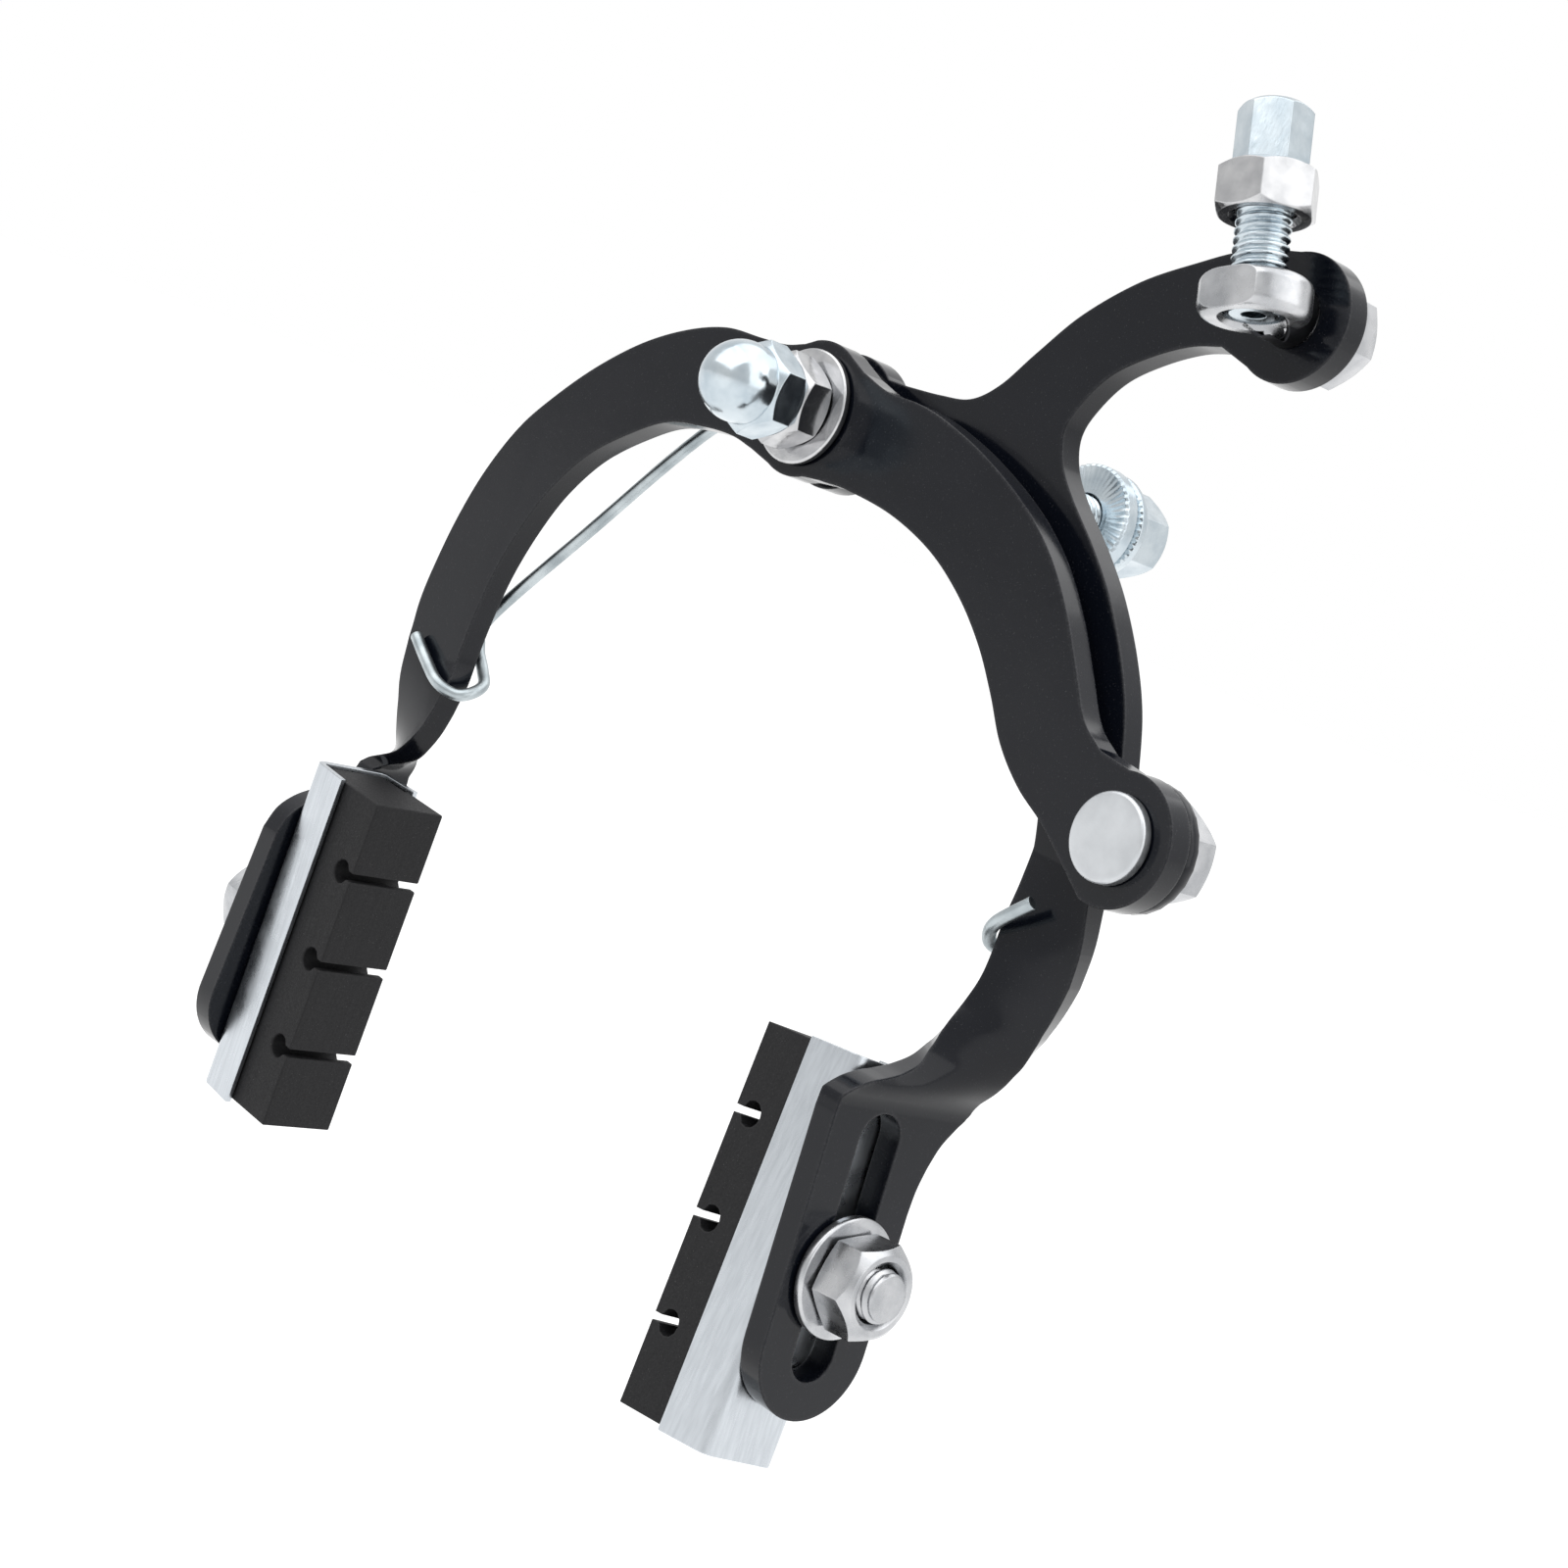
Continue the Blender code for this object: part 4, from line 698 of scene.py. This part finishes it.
def finished_arm(name, side, outline, eyes):
    """An arm as one smooth bar: rounded edges, clean holes, and the limb bent in fine steps."""
    here = SIDES[side]
    edge_x, sign, slot_top = here["edge_x"], here["sign"], here["slot_top"]
    centre_x = edge_x - sign * PLATE_WIDTH / 2
    radius = SLOT_WIDTH / 2
    slot = [*arc_points((centre_x, slot_top - radius), radius, 0, 180, SLOT_STEPS),
            *arc_points((centre_x, slot_top - SLOT_LENGTH + radius), radius, 180, 360, SLOT_STEPS)]
    bores = [arc_points(eye, BORE_R, 0, 360, EYE_STEPS)[:-1] for eye in eyes]
    data = bpy.data.curves.new(name, "CURVE")
    data.dimensions = "2D"
    data.fill_mode = "BOTH"
    data.extrude = ARM_THICKNESS / 2 * MM
    for loop in (outline, slot, *bores):
        add_line(data, loop, cyclic=True)
    bm = curve_mesh(data, CURVE_WELD)
    bmesh.ops.dissolve_limit(bm, angle_limit=math.radians(0.5), verts=[], edges=bm.edges)
    round_rims(bm, ARM_EDGE, 5)
    bmesh.ops.transform(bm, matrix=Matrix.Rotation(math.pi / 2, 4, "X"), verts=bm.verts)
    bmesh.ops.translate(bm, verts=bm.verts, vec=(0, here["edge_y"] * MM, 0))
    top = FOLD[side][0][0]
    cut_grid(bm, top - BENT_HEIGHT, top, CUT_ALONG, 2)
    cut_grid(bm, min(edge_x, edge_x - sign * PLATE_WIDTH) - FLARE_REACH, edge_x + PLATE_WIDTH, CUT_ACROSS, 0)
    bmesh.ops.recalc_face_normals(bm, faces=bm.faces)
    layer = bm.faces.layers.int.new("kind")
    for face in bm.faces:
        through = abs(face.normal.y)
        face[layer] = BROAD if through > 1 - FLAT_WITHIN else WALL if through < FLAT_WITHIN else ROUNDED
    for vert in bm.verts:
        vert.co = folded(vert.co, side)
    bm.normal_update()
    normals = plate_normals(bm, layer)
    dressed(mesh_object(name + "_enamelled", bm), ENAMEL, name, normals=normals)


finished_arm("front_arm", "left", front_outline(), (PIVOT, ANCHOR))
finished_arm("rear_arm", "right", rear_outline(), (PIVOT, UPPER_EYE))


# Plain pieces, of which little is seen

for label, finish in (("thrust_washer_1", CHROME), ("thrust_washer_2", CHROME), ("rear_washer", ZINC),
                      ("spring_holder", ZINC)):
    smooth_copy(label, finish, label + "_plated")


# Front of the centre bolt

# Front and back of the washer and of the lock nut, and the domed nut's seat, along the bolt
WASHER = (FRONT_FACE - SEAT - 1.0, FRONT_FACE - SEAT)
LOCK_NUT = (WASHER[0] - SEAT - 4.2, WASHER[0] - SEAT)
ACORN_SEAT = LOCK_NUT[0] - SEAT
# Heights of the domed nut's hexagon and neck, and the wall left in front of its blind bore
ACORN_HEX = 4.0
ACORN_NECK = 1.6
DOME_R = 4.86
DOME_WALL = 1.8
BORE_END = ACORN_SEAT - ACORN_HEX - ACORN_NECK - DOME_R + DOME_WALL


def plain_washer(name, radius, low, high, place=BOLT_AXIS, edge=0.25):
    """A washer with its outer edges rounded."""
    rim = [*arc_points((radius - edge, low + edge), edge, -90, 0, 4),
           *arc_points((radius - edge, high - edge), edge, 0, 90, 4)]
    return revolved(name, [(BORE_R, low), *rim, (BORE_R, high)], place)


def acorn():
    """The domed nut: a hexagon, a short neck and a dome, all turned round a blind bore."""
    hex_front = ACORN_SEAT - ACORN_HEX
    centre = hex_front - ACORN_NECK
    corner = corner_radius(NUT_AF) + CORNER_SPARE
    flat = NUT_AF / 2 - CHAMFER_IN
    profile = [(BORE_R + 0.4, ACORN_SEAT), (flat, ACORN_SEAT), (corner, ACORN_SEAT - 0.7),
               (corner, hex_front + 0.75), (DOME_R + 0.05, hex_front), (DOME_R - 0.08, hex_front - 0.15),
               *arc_points((0, centre), DOME_R, 0, -85, 17), (0, centre - DOME_R), (0, BORE_END),
               (BORE_R, BORE_END), (BORE_R, ACORN_SEAT - 0.4)]
    hexagon = prism("dome_prism", NUT_AF, centre - 2 * DOME_R, ACORN_SEAT + PAST)
    return combined(revolved("dome_nut", profile), hexagon, "INTERSECT")


dressed(plain_washer("bright_front_washer", 7.0, *WASHER), CHROME, "front_washer")
bevelled_nut("bright_lock_nut", CHROME, "front_lock_nut", *LOCK_NUT)
dressed(acorn(), ZINC, "acorn_nut", angle=NUT_SHARP)


# Back of the centre bolt

# The spring holder's back, and the room for the fork behind it
HOLDER_END = 17.55
FORK_SPAN = 31.6
# Front and back of the toothed washer and of the rear nut along the bolt, and the bolt's end behind them
TOOTHED = (HOLDER_END + FORK_SPAN, HOLDER_END + FORK_SPAN + 3.0)
REAR_NUT = (TOOTHED[1] + SEAT, TOOTHED[1] + SEAT + 9.0)
BOLT_PROUD = 2.2
# Radii of the washer and of the nut's flange, and inner radii of their toothed bands
TOOTHED_R = 7.3
TOOTHED_BAND = TOOTHED_R - 2.0
FLANGE_R = 7.0
FLANGE_BAND = 5.2
FLANGE_HEIGHT = 2.2
TEETH = 48
# Points of a ring this close to its face's height belong to the face
TOOTH_REACH = 0.4


def serrated(obj, face, inner, outer, depth):
    """Presses radial teeth into the outer band of a ring's front face, deepest at its rim."""
    for vert in obj.data.vertices:
        x, y, z = (value / MM for value in vert.co)
        share = min(1.0, (math.hypot(x, z) - inner) / (outer - inner))
        in_front = abs(y - face) < TOOTH_REACH
        if share > 0 and in_front:
            vert.co.y += depth * share * ridge(math.atan2(z, x) / (2 * math.pi) * TEETH) * MM
    return obj


def toothed_washer():
    """The thick washer against the fork, with fine teeth round the outer band of its front face."""
    low, high = TOOTHED
    profile = [(BORE_R, low), (TOOTHED_BAND, low), (TOOTHED_R - 0.3, low), (TOOTHED_R, low + 0.3),
               (TOOTHED_R, high - 0.8), (TOOTHED_R - 0.7, high - 0.3), (TOOTHED_BAND, high), (BORE_R, high)]
    ring = revolved("toothed_washer_plated", profile, steps=4 * TEETH)
    return serrated(ring, low, TOOTHED_BAND, TOOTHED_R, 0.26)


def rear_nut():
    """The nut at the bolt's back: a hexagon on a round flange whose front has the same teeth."""
    face, end = REAR_NUT
    collar = face + FLANGE_HEIGHT
    corner = corner_radius(NUT_AF) + CORNER_SPARE
    profile = [(BORE_R + 0.4, face), (FLANGE_BAND, face), (FLANGE_R - 0.4, face + 0.2),
               (FLANGE_R, face + 0.6), (FLANGE_R, collar - 0.9), (FLANGE_R - 0.15, collar - 0.5),
               (FLANGE_R - 0.6, collar - 0.2), (corner, collar), (corner, end - 1.3),
               (NUT_AF / 2 - 0.5, end), (BORE_R + 0.4, end), (BORE_R, end - 0.4), (BORE_R, face + 0.4)]
    turned = revolved("flanged_nut", profile, steps=4 * TEETH)
    turned = serrated(turned, face, FLANGE_BAND, FLANGE_R, 0.3)
    shaper = prism("flanged_prism", NUT_AF, collar, end + PAST)
    disc = cylinder("flanged_disc", FLANGE_R + PAST, face - PAST, collar)
    return combined(turned, combined(shaper, disc, "UNION"), "INTERSECT")


bolt = threaded_rod("threaded_centre_bolt", BORE_END + SEAT + 0.3, REAR_NUT[1] + BOLT_PROUD)
dressed(rear_nut(), ZINC, "mounting_nut", angle=NUT_SHARP)
dressed(bolt, ZINC, "centre_bolt", angle=50)
dressed(toothed_washer(), ZINC, "toothed_washer", angle=24)


# Cable anchor

ANCHOR_PLACE = Matrix.Translation((ANCHOR[0], 0, ANCHOR[1])) @ BOLT_AXIS
# The anchor bolt's head and its radius, and the shank's end and the nut from the front arm's back
ANCHOR_HEAD = 1.3
ANCHOR_HEAD_R = 4.95
ANCHOR_END = 8.3
ANCHOR_NUT = (2.5, 2.5 + NUT_HEIGHT)


def anchor_bolt():
    """The bolt that clamps the cable: a low round head and a shank with a chamfered end."""
    back = FRONT_FACE - SEAT
    front = back - ANCHOR_HEAD
    edge, chamfer = 0.4, 0.35
    profile = [(0, front), (4.0, front + 0.02),
               *arc_points((ANCHOR_HEAD_R - edge, front + edge), edge, -90, 0, 5), (ANCHOR_HEAD_R, back),
               (THREAD_R, back), (THREAD_R, ANCHOR_END - chamfer), (THREAD_R - chamfer, ANCHOR_END),
               (0, ANCHOR_END)]
    return revolved("anchor_bolt_head", profile, ANCHOR_PLACE)


dressed(anchor_bolt(), BRUSHED, "anchor_bolt", angle=30)
smooth_copy("anchor_washer", ENAMEL, "anchor_washer_enamelled")
bevelled_nut("anchor_nut_bright", SATIN, "anchor_nut", *ANCHOR_NUT, ANCHOR_PLACE)


# Cable adjuster

# The stud leans in its eye; SCREW's Z runs up the adjusting screw, from the middle of the stud's head
STUD_TILT = math.radians(-19)
SWIVEL = Matrix.Translation((UPPER_EYE[0], 0, UPPER_EYE[1])) @ Matrix.Rotation(STUD_TILT, 4, "Y")
SCREW = SWIVEL @ Matrix.Translation((0, -4.25, -0.15))
# Along the stud, from the front arm's back: the head's flat, the neck, the nut, and the thread's end past it
STUD_FRONT = -9.15
NECK = (-2.25, 2.3)
STUD_NUT = (REAR_ARM_BACK + SEAT, REAR_ARM_BACK + SEAT + NUT_HEIGHT)
STUD_PROUD = 0.8
# Half the height of the stud's head along the screw, its radius, and the neck's radius
STUD_HALF = 2.2
STUD_HEAD_R = 6.0
NECK_R = 3.45
# Lower and upper ends of the lock nut and of the screw's head, and the screw's lower end, along the screw
LOCK = (STUD_HALF + 6.6, STUD_HALF + 6.6 + 5.2)
HEAD = (LOCK[1] + SEAT, LOCK[1] + SEAT + 6.8)
TAIL = 0.5 - STUD_HALF
# The screw's head across its flats, the hole for the cable, and the socket for the cable's casing
HEAD_AF = 7.0
CABLE_R = 1.3
SOCKET_R = 2.5
SOCKET_DEPTH = 5.0


def adjusting_screw():
    """The hollow screw: a threaded tube joined to a small crowned hexagon head with the casing's socket."""
    low, high = HEAD
    tube = threaded_rod("adjusting_screw", TAIL, low + 0.3, SCREW, bore=CABLE_R)
    corner = corner_radius(HEAD_AF) + CORNER_SPARE
    profile = [(CABLE_R, low), (corner, low), (corner, high - 0.75), (HEAD_AF / 2 - 0.45, high),
               (SOCKET_R + 0.25, high), (SOCKET_R, high - 0.25), (SOCKET_R, high - SOCKET_DEPTH),
               (CABLE_R, high - SOCKET_DEPTH)]
    hexagon = prism("screw_prism", HEAD_AF, TAIL, high + PAST, SCREW)
    head = combined(revolved("screw_head", profile, SCREW), hexagon, "INTERSECT")
    return combined(tube, head, "UNION")


def adjuster_stud():
    """The swivelling stud: its round head with a front flat and a thread, and its neck apart, coloured dark
    as painted shade.
    """
    axis = SWIVEL @ BOLT_AXIS
    edge = 1.2
    rim = [*arc_points((STUD_HEAD_R - edge, edge - STUD_HALF), edge, -90, 0, 6),
           *arc_points((STUD_HEAD_R - edge, STUD_HALF - edge), edge, 0, 90, 6)]
    head = revolved("adjuster_stud_bright", [(0, -STUD_HALF), *rim, (0, STUD_HALF)], SCREW)
    ahead = cylinder("stud_front_flat", 2 * STUD_HEAD_R, STUD_FRONT - 2 * STUD_HEAD_R, STUD_FRONT, axis)
    head = combined(head, ahead, "DIFFERENCE")
    thread = threaded_rod("stud_thread", -3.0, STUD_NUT[1] + STUD_PROUD, axis)
    head = combined(head, thread, "UNION")
    core = THREAD_R + 0.05
    profile = [(core, NECK[0]), (NECK_R, NECK[0]), (NECK_R, NECK[1]), (core, NECK[1])]
    neck = revolved("adjuster_stud_neck", profile, axis)
    sink = 0.5
    wide = BORE_R + sink + PAST
    hole = [(0, -STUD_HALF - PAST), (wide, -STUD_HALF - PAST), (BORE_R, sink - STUD_HALF),
            (BORE_R, STUD_HALF - sink), (wide, STUD_HALF + PAST), (0, STUD_HALF + PAST)]
    return [combined(part, revolved("stud_cross_hole", hole, SCREW), "DIFFERENCE") for part in (head, neck)]


dressed(adjusting_screw(), ZINC, "adjuster_barrel", angle=32)
lock_place = SCREW @ Matrix.Rotation(math.pi / 6, 4, "Z")
bevelled_nut("adjuster_lock_nut_bright", CHROME, "adjuster_lock_nut", *LOCK, lock_place)
stud_head, stud_neck = adjuster_stud()
dressed(stud_head, SATIN, "adjuster_stud", angle=32)
# The neck's dark colour is painted shade
dressed(stud_neck, PAINTED_SHADE_STEEL, "adjuster_stud", angle=32)
bevelled_nut("stud_nut_bright", SATIN, "adjuster_stud_nut", *STUD_NUT, SWIVEL @ BOLT_AXIS)


# Shoes

# The block's length, and the channel's back and the braking face from the slotted end's middle plane
SHOE_LENGTH = 44.7
SHOE_BACK = -ARM_THICKNESS / 2 - SEAT
SHOE_FACE = SHOE_BACK - 14.8
# The channel: half its width, its sheet, the reach of its sides and how far it passes the shoe's ends
CHANNEL_HALF = 5.8
CHANNEL_WALL = 0.85
CHANNEL_BACK = 1.0
CHANNEL_SIDE = 7.2
CHANNEL_PROUD = 0.4
FOLD_R = 1.6
LIP_R = 0.3
LIP_SPLAY = 0.55
# The keyhole grooves; MOUTHS are less open than the solids' own GROOVE_MOUTH, and least on the right shoe
GROOVE_PITCH = 12.2
GROOVE_MOUTH = 1.5
MOUTH_DEPTH = 1.25
MOUTH_NEAR = 0.06
MOUTHS = {"left": 1.1, "right": 0.9}
# The stud's round head inside the channel
STUD_DISC = 1.5
STUD_DISC_R = 3.9
# Lays local Z of a turned piece along a shoe's stud, towards the arm
STUD_AXIS = Matrix.Rotation(math.pi / 2, 4, "Y")


def shoe_places(side):
    """Where the shoe slides, and where it is turned to; local X points to the arm and Z along the shoe."""
    sign, lean, height, turn = (SIDES[side][key] for key in ("sign", "lean", "stud_z", "turn"))
    at = Matrix.Translation((sign * PLATE_REACH, SLOT_Y, height))
    face_out = Matrix.Rotation(0 if sign > 0 else math.pi, 4, "Z")
    slide = at @ Matrix.Rotation(-sign * math.radians(lean), 4, "Y") @ face_out
    return slide, slide @ Matrix.Rotation(sign * math.radians(turn), 4, "X")


def shoe_block(side):
    """The rubber block with soft edges; the mouths of its keyhole grooves are drawn together."""
    name = side + "_pad_rubber"
    place = metres(shoe_places(side)[1])
    bm = merged_copy(name)
    bmesh.ops.dissolve_limit(bm, angle_limit=math.radians(1), verts=bm.verts, edges=bm.edges)
    bmesh.ops.transform(bm, matrix=place.inverted(), verts=bm.verts)
    for vert in bm.verts:
        x, z = vert.co.x / MM, vert.co.z / MM
        groove = GROOVE_PITCH * round(z / GROOVE_PITCH)
        on_mouth = abs(abs(z - groove) - GROOVE_MOUTH / 2) < MOUTH_NEAR
        if on_mouth and x < SHOE_FACE + MOUTH_DEPTH:
            vert.co.z = (groove + math.copysign(MOUTHS[side] / 2, z - groove)) * MM
    bmesh.ops.transform(bm, matrix=place, verts=bm.verts)
    dressed(softened(mesh_object(side + "_shoe_rubber", bm), 0.22, 35), RUBBER, name, angle=40)


def shoe_channel(side):
    """The shoe's sheet channel: round folds, and lips that stand a little off over the rubber's edge."""
    place = shoe_places(side)[1]
    outer, inner = CHANNEL_HALF, CHANNEL_HALF - CHANNEL_WALL
    inside, lip = SHOE_BACK - CHANNEL_BACK, SHOE_BACK - CHANNEL_SIDE
    inner_r = FOLD_R - CHANNEL_WALL
    upper = [*arc_points((lip + LIP_R, outer + LIP_SPLAY - LIP_R), LIP_R, 180, 90, 4),
             *arc_points((SHOE_BACK - FOLD_R, outer - FOLD_R), FOLD_R, 90, 0, 8)]
    upper_inner = [*arc_points((inside - inner_r, inner - inner_r), inner_r, 0, 90, 6),
                   (lip, inner + LIP_SPLAY)]
    lower, lower_inner = ([(x, -y) for x, y in reversed(path)] for path in (upper, upper_inner))
    reach = SHOE_LENGTH / 2 + CHANNEL_PROUD
    bm = bmesh.new()
    outline = [*upper, *lower, *lower_inner, *upper_inner]
    sheet = bm.faces.new([bm.verts.new((x * MM, y * MM, -reach * MM)) for x, y in outline])
    grown = bmesh.ops.extrude_face_region(bm, geom=[sheet], use_keep_orig=True)
    bmesh.ops.translate(bm, verts=new_verts(grown), vec=(0, 0, 2 * reach * MM))
    channel = mesh_object(side + "_shoe_channel", bm, place)
    hole = cylinder(side + "_channel_hole", BORE_R, inside - PAST, SHOE_BACK + PAST, place @ STUD_AXIS)
    channel = softened(combined(channel, hole, "DIFFERENCE"), 0.14, 50)
    dressed(channel, CHANNEL, side + "_pad_holder", angle=40)


def shoe_fastening(side):
    """The washer, nut and stud that hold a shoe to its slotted limb."""
    slide, turned = (place @ STUD_AXIS for place in shoe_places(side))
    low = ARM_THICKNESS / 2 + SEAT
    high = low + 1.2
    nut = (high + SEAT, high + SEAT + NUT_HEIGHT)
    dressed(plain_washer(side + "_shoe_washer", 6.9, low, high, slide, 0.35), SATIN, side + "_pad_washer")
    turned_nut = slide @ Matrix.Rotation(math.radians(12), 4, "Z")
    bevelled_nut(side + "_shoe_nut", SATIN, side + "_pad_nut", *nut, turned_nut, (0.3, 1.15), 0.35)
    head = SHOE_BACK - CHANNEL_BACK - SEAT - STUD_DISC
    shank = threaded_rod(side + "_shoe_stud", head + STUD_DISC - 0.1, nut[1] + 1.0, turned)
    disc = cylinder(side + "_stud_disc", STUD_DISC_R, head, head + STUD_DISC, turned)
    dressed(combined(shank, disc, "UNION"), SATIN, side + "_pad_stud", angle=35)


for side in SIDES:
    shoe_block(side)
    shoe_channel(side)
    shoe_fastening(side)


# Return spring

WIRE_R = 0.8
# Y of the wire behind and in front of each arm
FRONT_BEHIND = WIRE_R + SEAT + 0.1
REAR_BEHIND = REAR_ARM_BACK + WIRE_R + SEAT + 0.1
FRONT_BEFORE = FRONT_FACE - WIRE_R - SEAT
REAR_BEFORE = REAR_ARM_FRONT - WIRE_R - SEAT
# The wire's run through the holder's slit
WIRE_Y = 10.35
WIRE_Z = 5.6
# Each leg from the end of its hook to the middle of the holder
LEFT_LEG = [
    (-53.4, FRONT_BEFORE, -45.3), (-49.1, FRONT_BEFORE - 0.4, -47.6), (-44.9, FRONT_BEFORE - 0.9, -49.3),
    (-42.5, FRONT_BEFORE + 0.5, -49.9), (-41.6, -2.1, -49.2), (-42.4, FRONT_BEHIND - 1.0, -47.8),
    (-44.8, FRONT_BEHIND, -46.2), (-47.4, FRONT_BEHIND + 0.2, -43.6), (-47.8, FRONT_BEHIND + 0.6, -39.6),
    (-38.7, FRONT_BEHIND + 3.3, -24.7), (-26.5, FRONT_BEHIND + 6.9, -5.7), (-16.0, WIRE_Y - 0.9, 1.2),
    (-9.5, WIRE_Y - 0.1, 5.0), (-6.5, WIRE_Y, WIRE_Z), (0.0, WIRE_Y, WIRE_Z)]
RIGHT_LEG = [
    (57.6, REAR_BEFORE - 2.3, -41.0), (54.0, REAR_BEFORE - 2.5, -44.6), (52.4, REAR_BEFORE - 0.9, -46.7),
    (52.2, REAR_ARM_FRONT, -47.6), (52.9, REAR_BEHIND - 2.1, -47.2), (54.4, REAR_BEHIND - 0.5, -45.2),
    (55.4, REAR_BEHIND + 0.2, -40.5), (51.6, REAR_BEHIND + 0.3, -33.0), (40.0, REAR_BEHIND + 0.8, -20.5),
    (26.0, REAR_BEHIND + 1.4, -8.0), (15.0, WIRE_Y - 0.4, 0.8), (9.5, WIRE_Y, 4.9),
    (6.5, WIRE_Y, WIRE_Z), (0.0, WIRE_Y, WIRE_Z)]


def spring_leg(name, points):
    """Half of the return spring: one end lies in its holder and the other hooks round its arm."""
    data = bpy.data.curves.new(name, "CURVE")
    data.dimensions = "3D"
    data.bevel_depth = WIRE_R * MM
    data.bevel_resolution = 6
    data.use_fill_caps = True
    add_line(data, spline(points))
    bm = curve_mesh(data, WELD)
    round_rims(bm, 0.15, 2)
    obj = mesh_object(name, bm)
    obj.data.materials.append(WIRE)
    obj.data.shade_smooth()
    obj.data.set_sharp_from_angle(angle=RIM_ANGLE)
    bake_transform(obj)
    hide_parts("return_spring")


spring_leg("return_spring_left", LEFT_LEG)
spring_leg("return_spring_right", RIGHT_LEG)


# Floor, light and camera; places are in metres here

FLOOR_Z = -0.19
# What the lamps point at, and each lamp's place, size and power in watts
AIM = Vector((0, 0, -0.03))
LAMPS = {"key": ((-0.25, -0.75, 0.85), (1.5, 1.1), 6.5),
         "fill": ((0.85, 0.15, 0.45), (1.1, 1.1), 3.2),
         "top": ((0.1, 0.2, 1.0), (1.5, 1.5), 6.5)}
# The photograph's camera, solved on the brake's standard nuts: lens in millimetres, place and directions
LENS = 72.39
EYE = (0.27243, -0.25918, -0.00507)
RIGHT = (0.638, 0.683, 0.356)
FORWARD = (-0.701, 0.706, -0.100)


def background_ray(tree):
    """1 where the background is seen, by the camera or in metal and glass; 0 where it lights the object."""
    path = node(tree, "LightPath").outputs
    seen = maths(tree, "ADD", path["Is Camera Ray"], path["Is Glossy Ray"])
    return maths(tree, "MINIMUM", maths(tree, "ADD", seen, path["Is Transmission Ray"]), 1.0)


def pale_stage():
    """A white floor well below the part; the camera sees it and the world beyond as the same white."""
    made, tree, shader = new_material("pale_floor")
    join(tree, shader, Base_Color=colour("a0a0a0"), Roughness=0.9, Specular_IOR_Level=0.0)
    strength = maths(tree, "MULTIPLY", background_ray(tree), 0.82)
    glow = node(tree, "Emission", {"Color": (1, 1, 1, 1), "Strength": strength})
    both = node(tree, "AddShader", {0: shader.outputs[0], 1: glow.outputs[0]})
    tree.links.new(both.outputs[0], tree.nodes["Material Output"].inputs["Surface"])
    bm = bmesh.new()
    bmesh.ops.create_grid(bm, x_segments=2, y_segments=2, size=6.0)
    bmesh.ops.translate(bm, verts=bm.verts, vec=(0, 0, FLOOR_Z))
    floor = mesh_object("floor", bm)
    floor.data.materials.append(made)


def studio_world():
    """A white background, also in metal, that is dimmer on the front's side; its light falls from above."""
    world = bpy.data.worlds.new("studio")
    world.use_nodes = True
    tree = world.node_tree
    background = tree.nodes["Background"]
    direction = node(tree, "TexCoord").outputs["Generated"]
    height = node(tree, "SeparateXYZ", {0: direction}).outputs["Z"]
    lighting = ranged(tree, height, -0.3, 0.9, 0.35, 1.0)
    rearward = node(tree, "VectorMath", {0: direction, 1: (0.1, 0.95, 0.3)}, operation="DOT_PRODUCT")
    room = ranged(tree, rearward.outputs["Value"], -0.8, 0.2, 0.78, 1.0)
    in_metal = node(tree, "LightPath").outputs["Is Glossy Ray"]
    seen = node(tree, "Mix", {0: in_metal, 2: 1.0, 3: room}, data_type="FLOAT").outputs[0]
    sent = node(tree, "Mix", {0: background_ray(tree), 2: lighting, 3: seen}, data_type="FLOAT").outputs[0]
    join(tree, background, Color=(1, 1, 1, 1), Strength=sent)
    bpy.context.scene.world = world


def softbox(name, place, size, watts):
    """A rectangular lamp that points at the part."""
    data = bpy.data.lights.new(name, "AREA")
    data.shape = "RECTANGLE"
    data.size, data.size_y = size
    data.energy = watts
    lamp = linked(name, data)
    lamp.location = place
    lamp.rotation_euler = (AIM - lamp.location).to_track_quat("-Z", "Y").to_euler()


def camera():
    """The camera in the photograph's place; its three directions are squared to each other."""
    data = bpy.data.cameras.new("camera")
    data.sensor_width = 36.0
    data.lens = LENS
    data.clip_start = 0.01
    right = Vector(RIGHT).normalized()
    forward = Vector(FORWARD)
    forward = (forward - right * forward.dot(right)).normalized()
    up = right.cross(forward)
    eye = linked("camera", data)
    eye.matrix_world = Matrix.Translation(EYE) @ Matrix((right, up, -forward)).transposed().to_4x4()
    bpy.context.scene.camera = eye


pale_stage()
studio_world()
for label, (place, size, watts) in LAMPS.items():
    softbox(label, place, size, watts)
camera()
bpy.context.scene.view_settings.view_transform = "Standard"
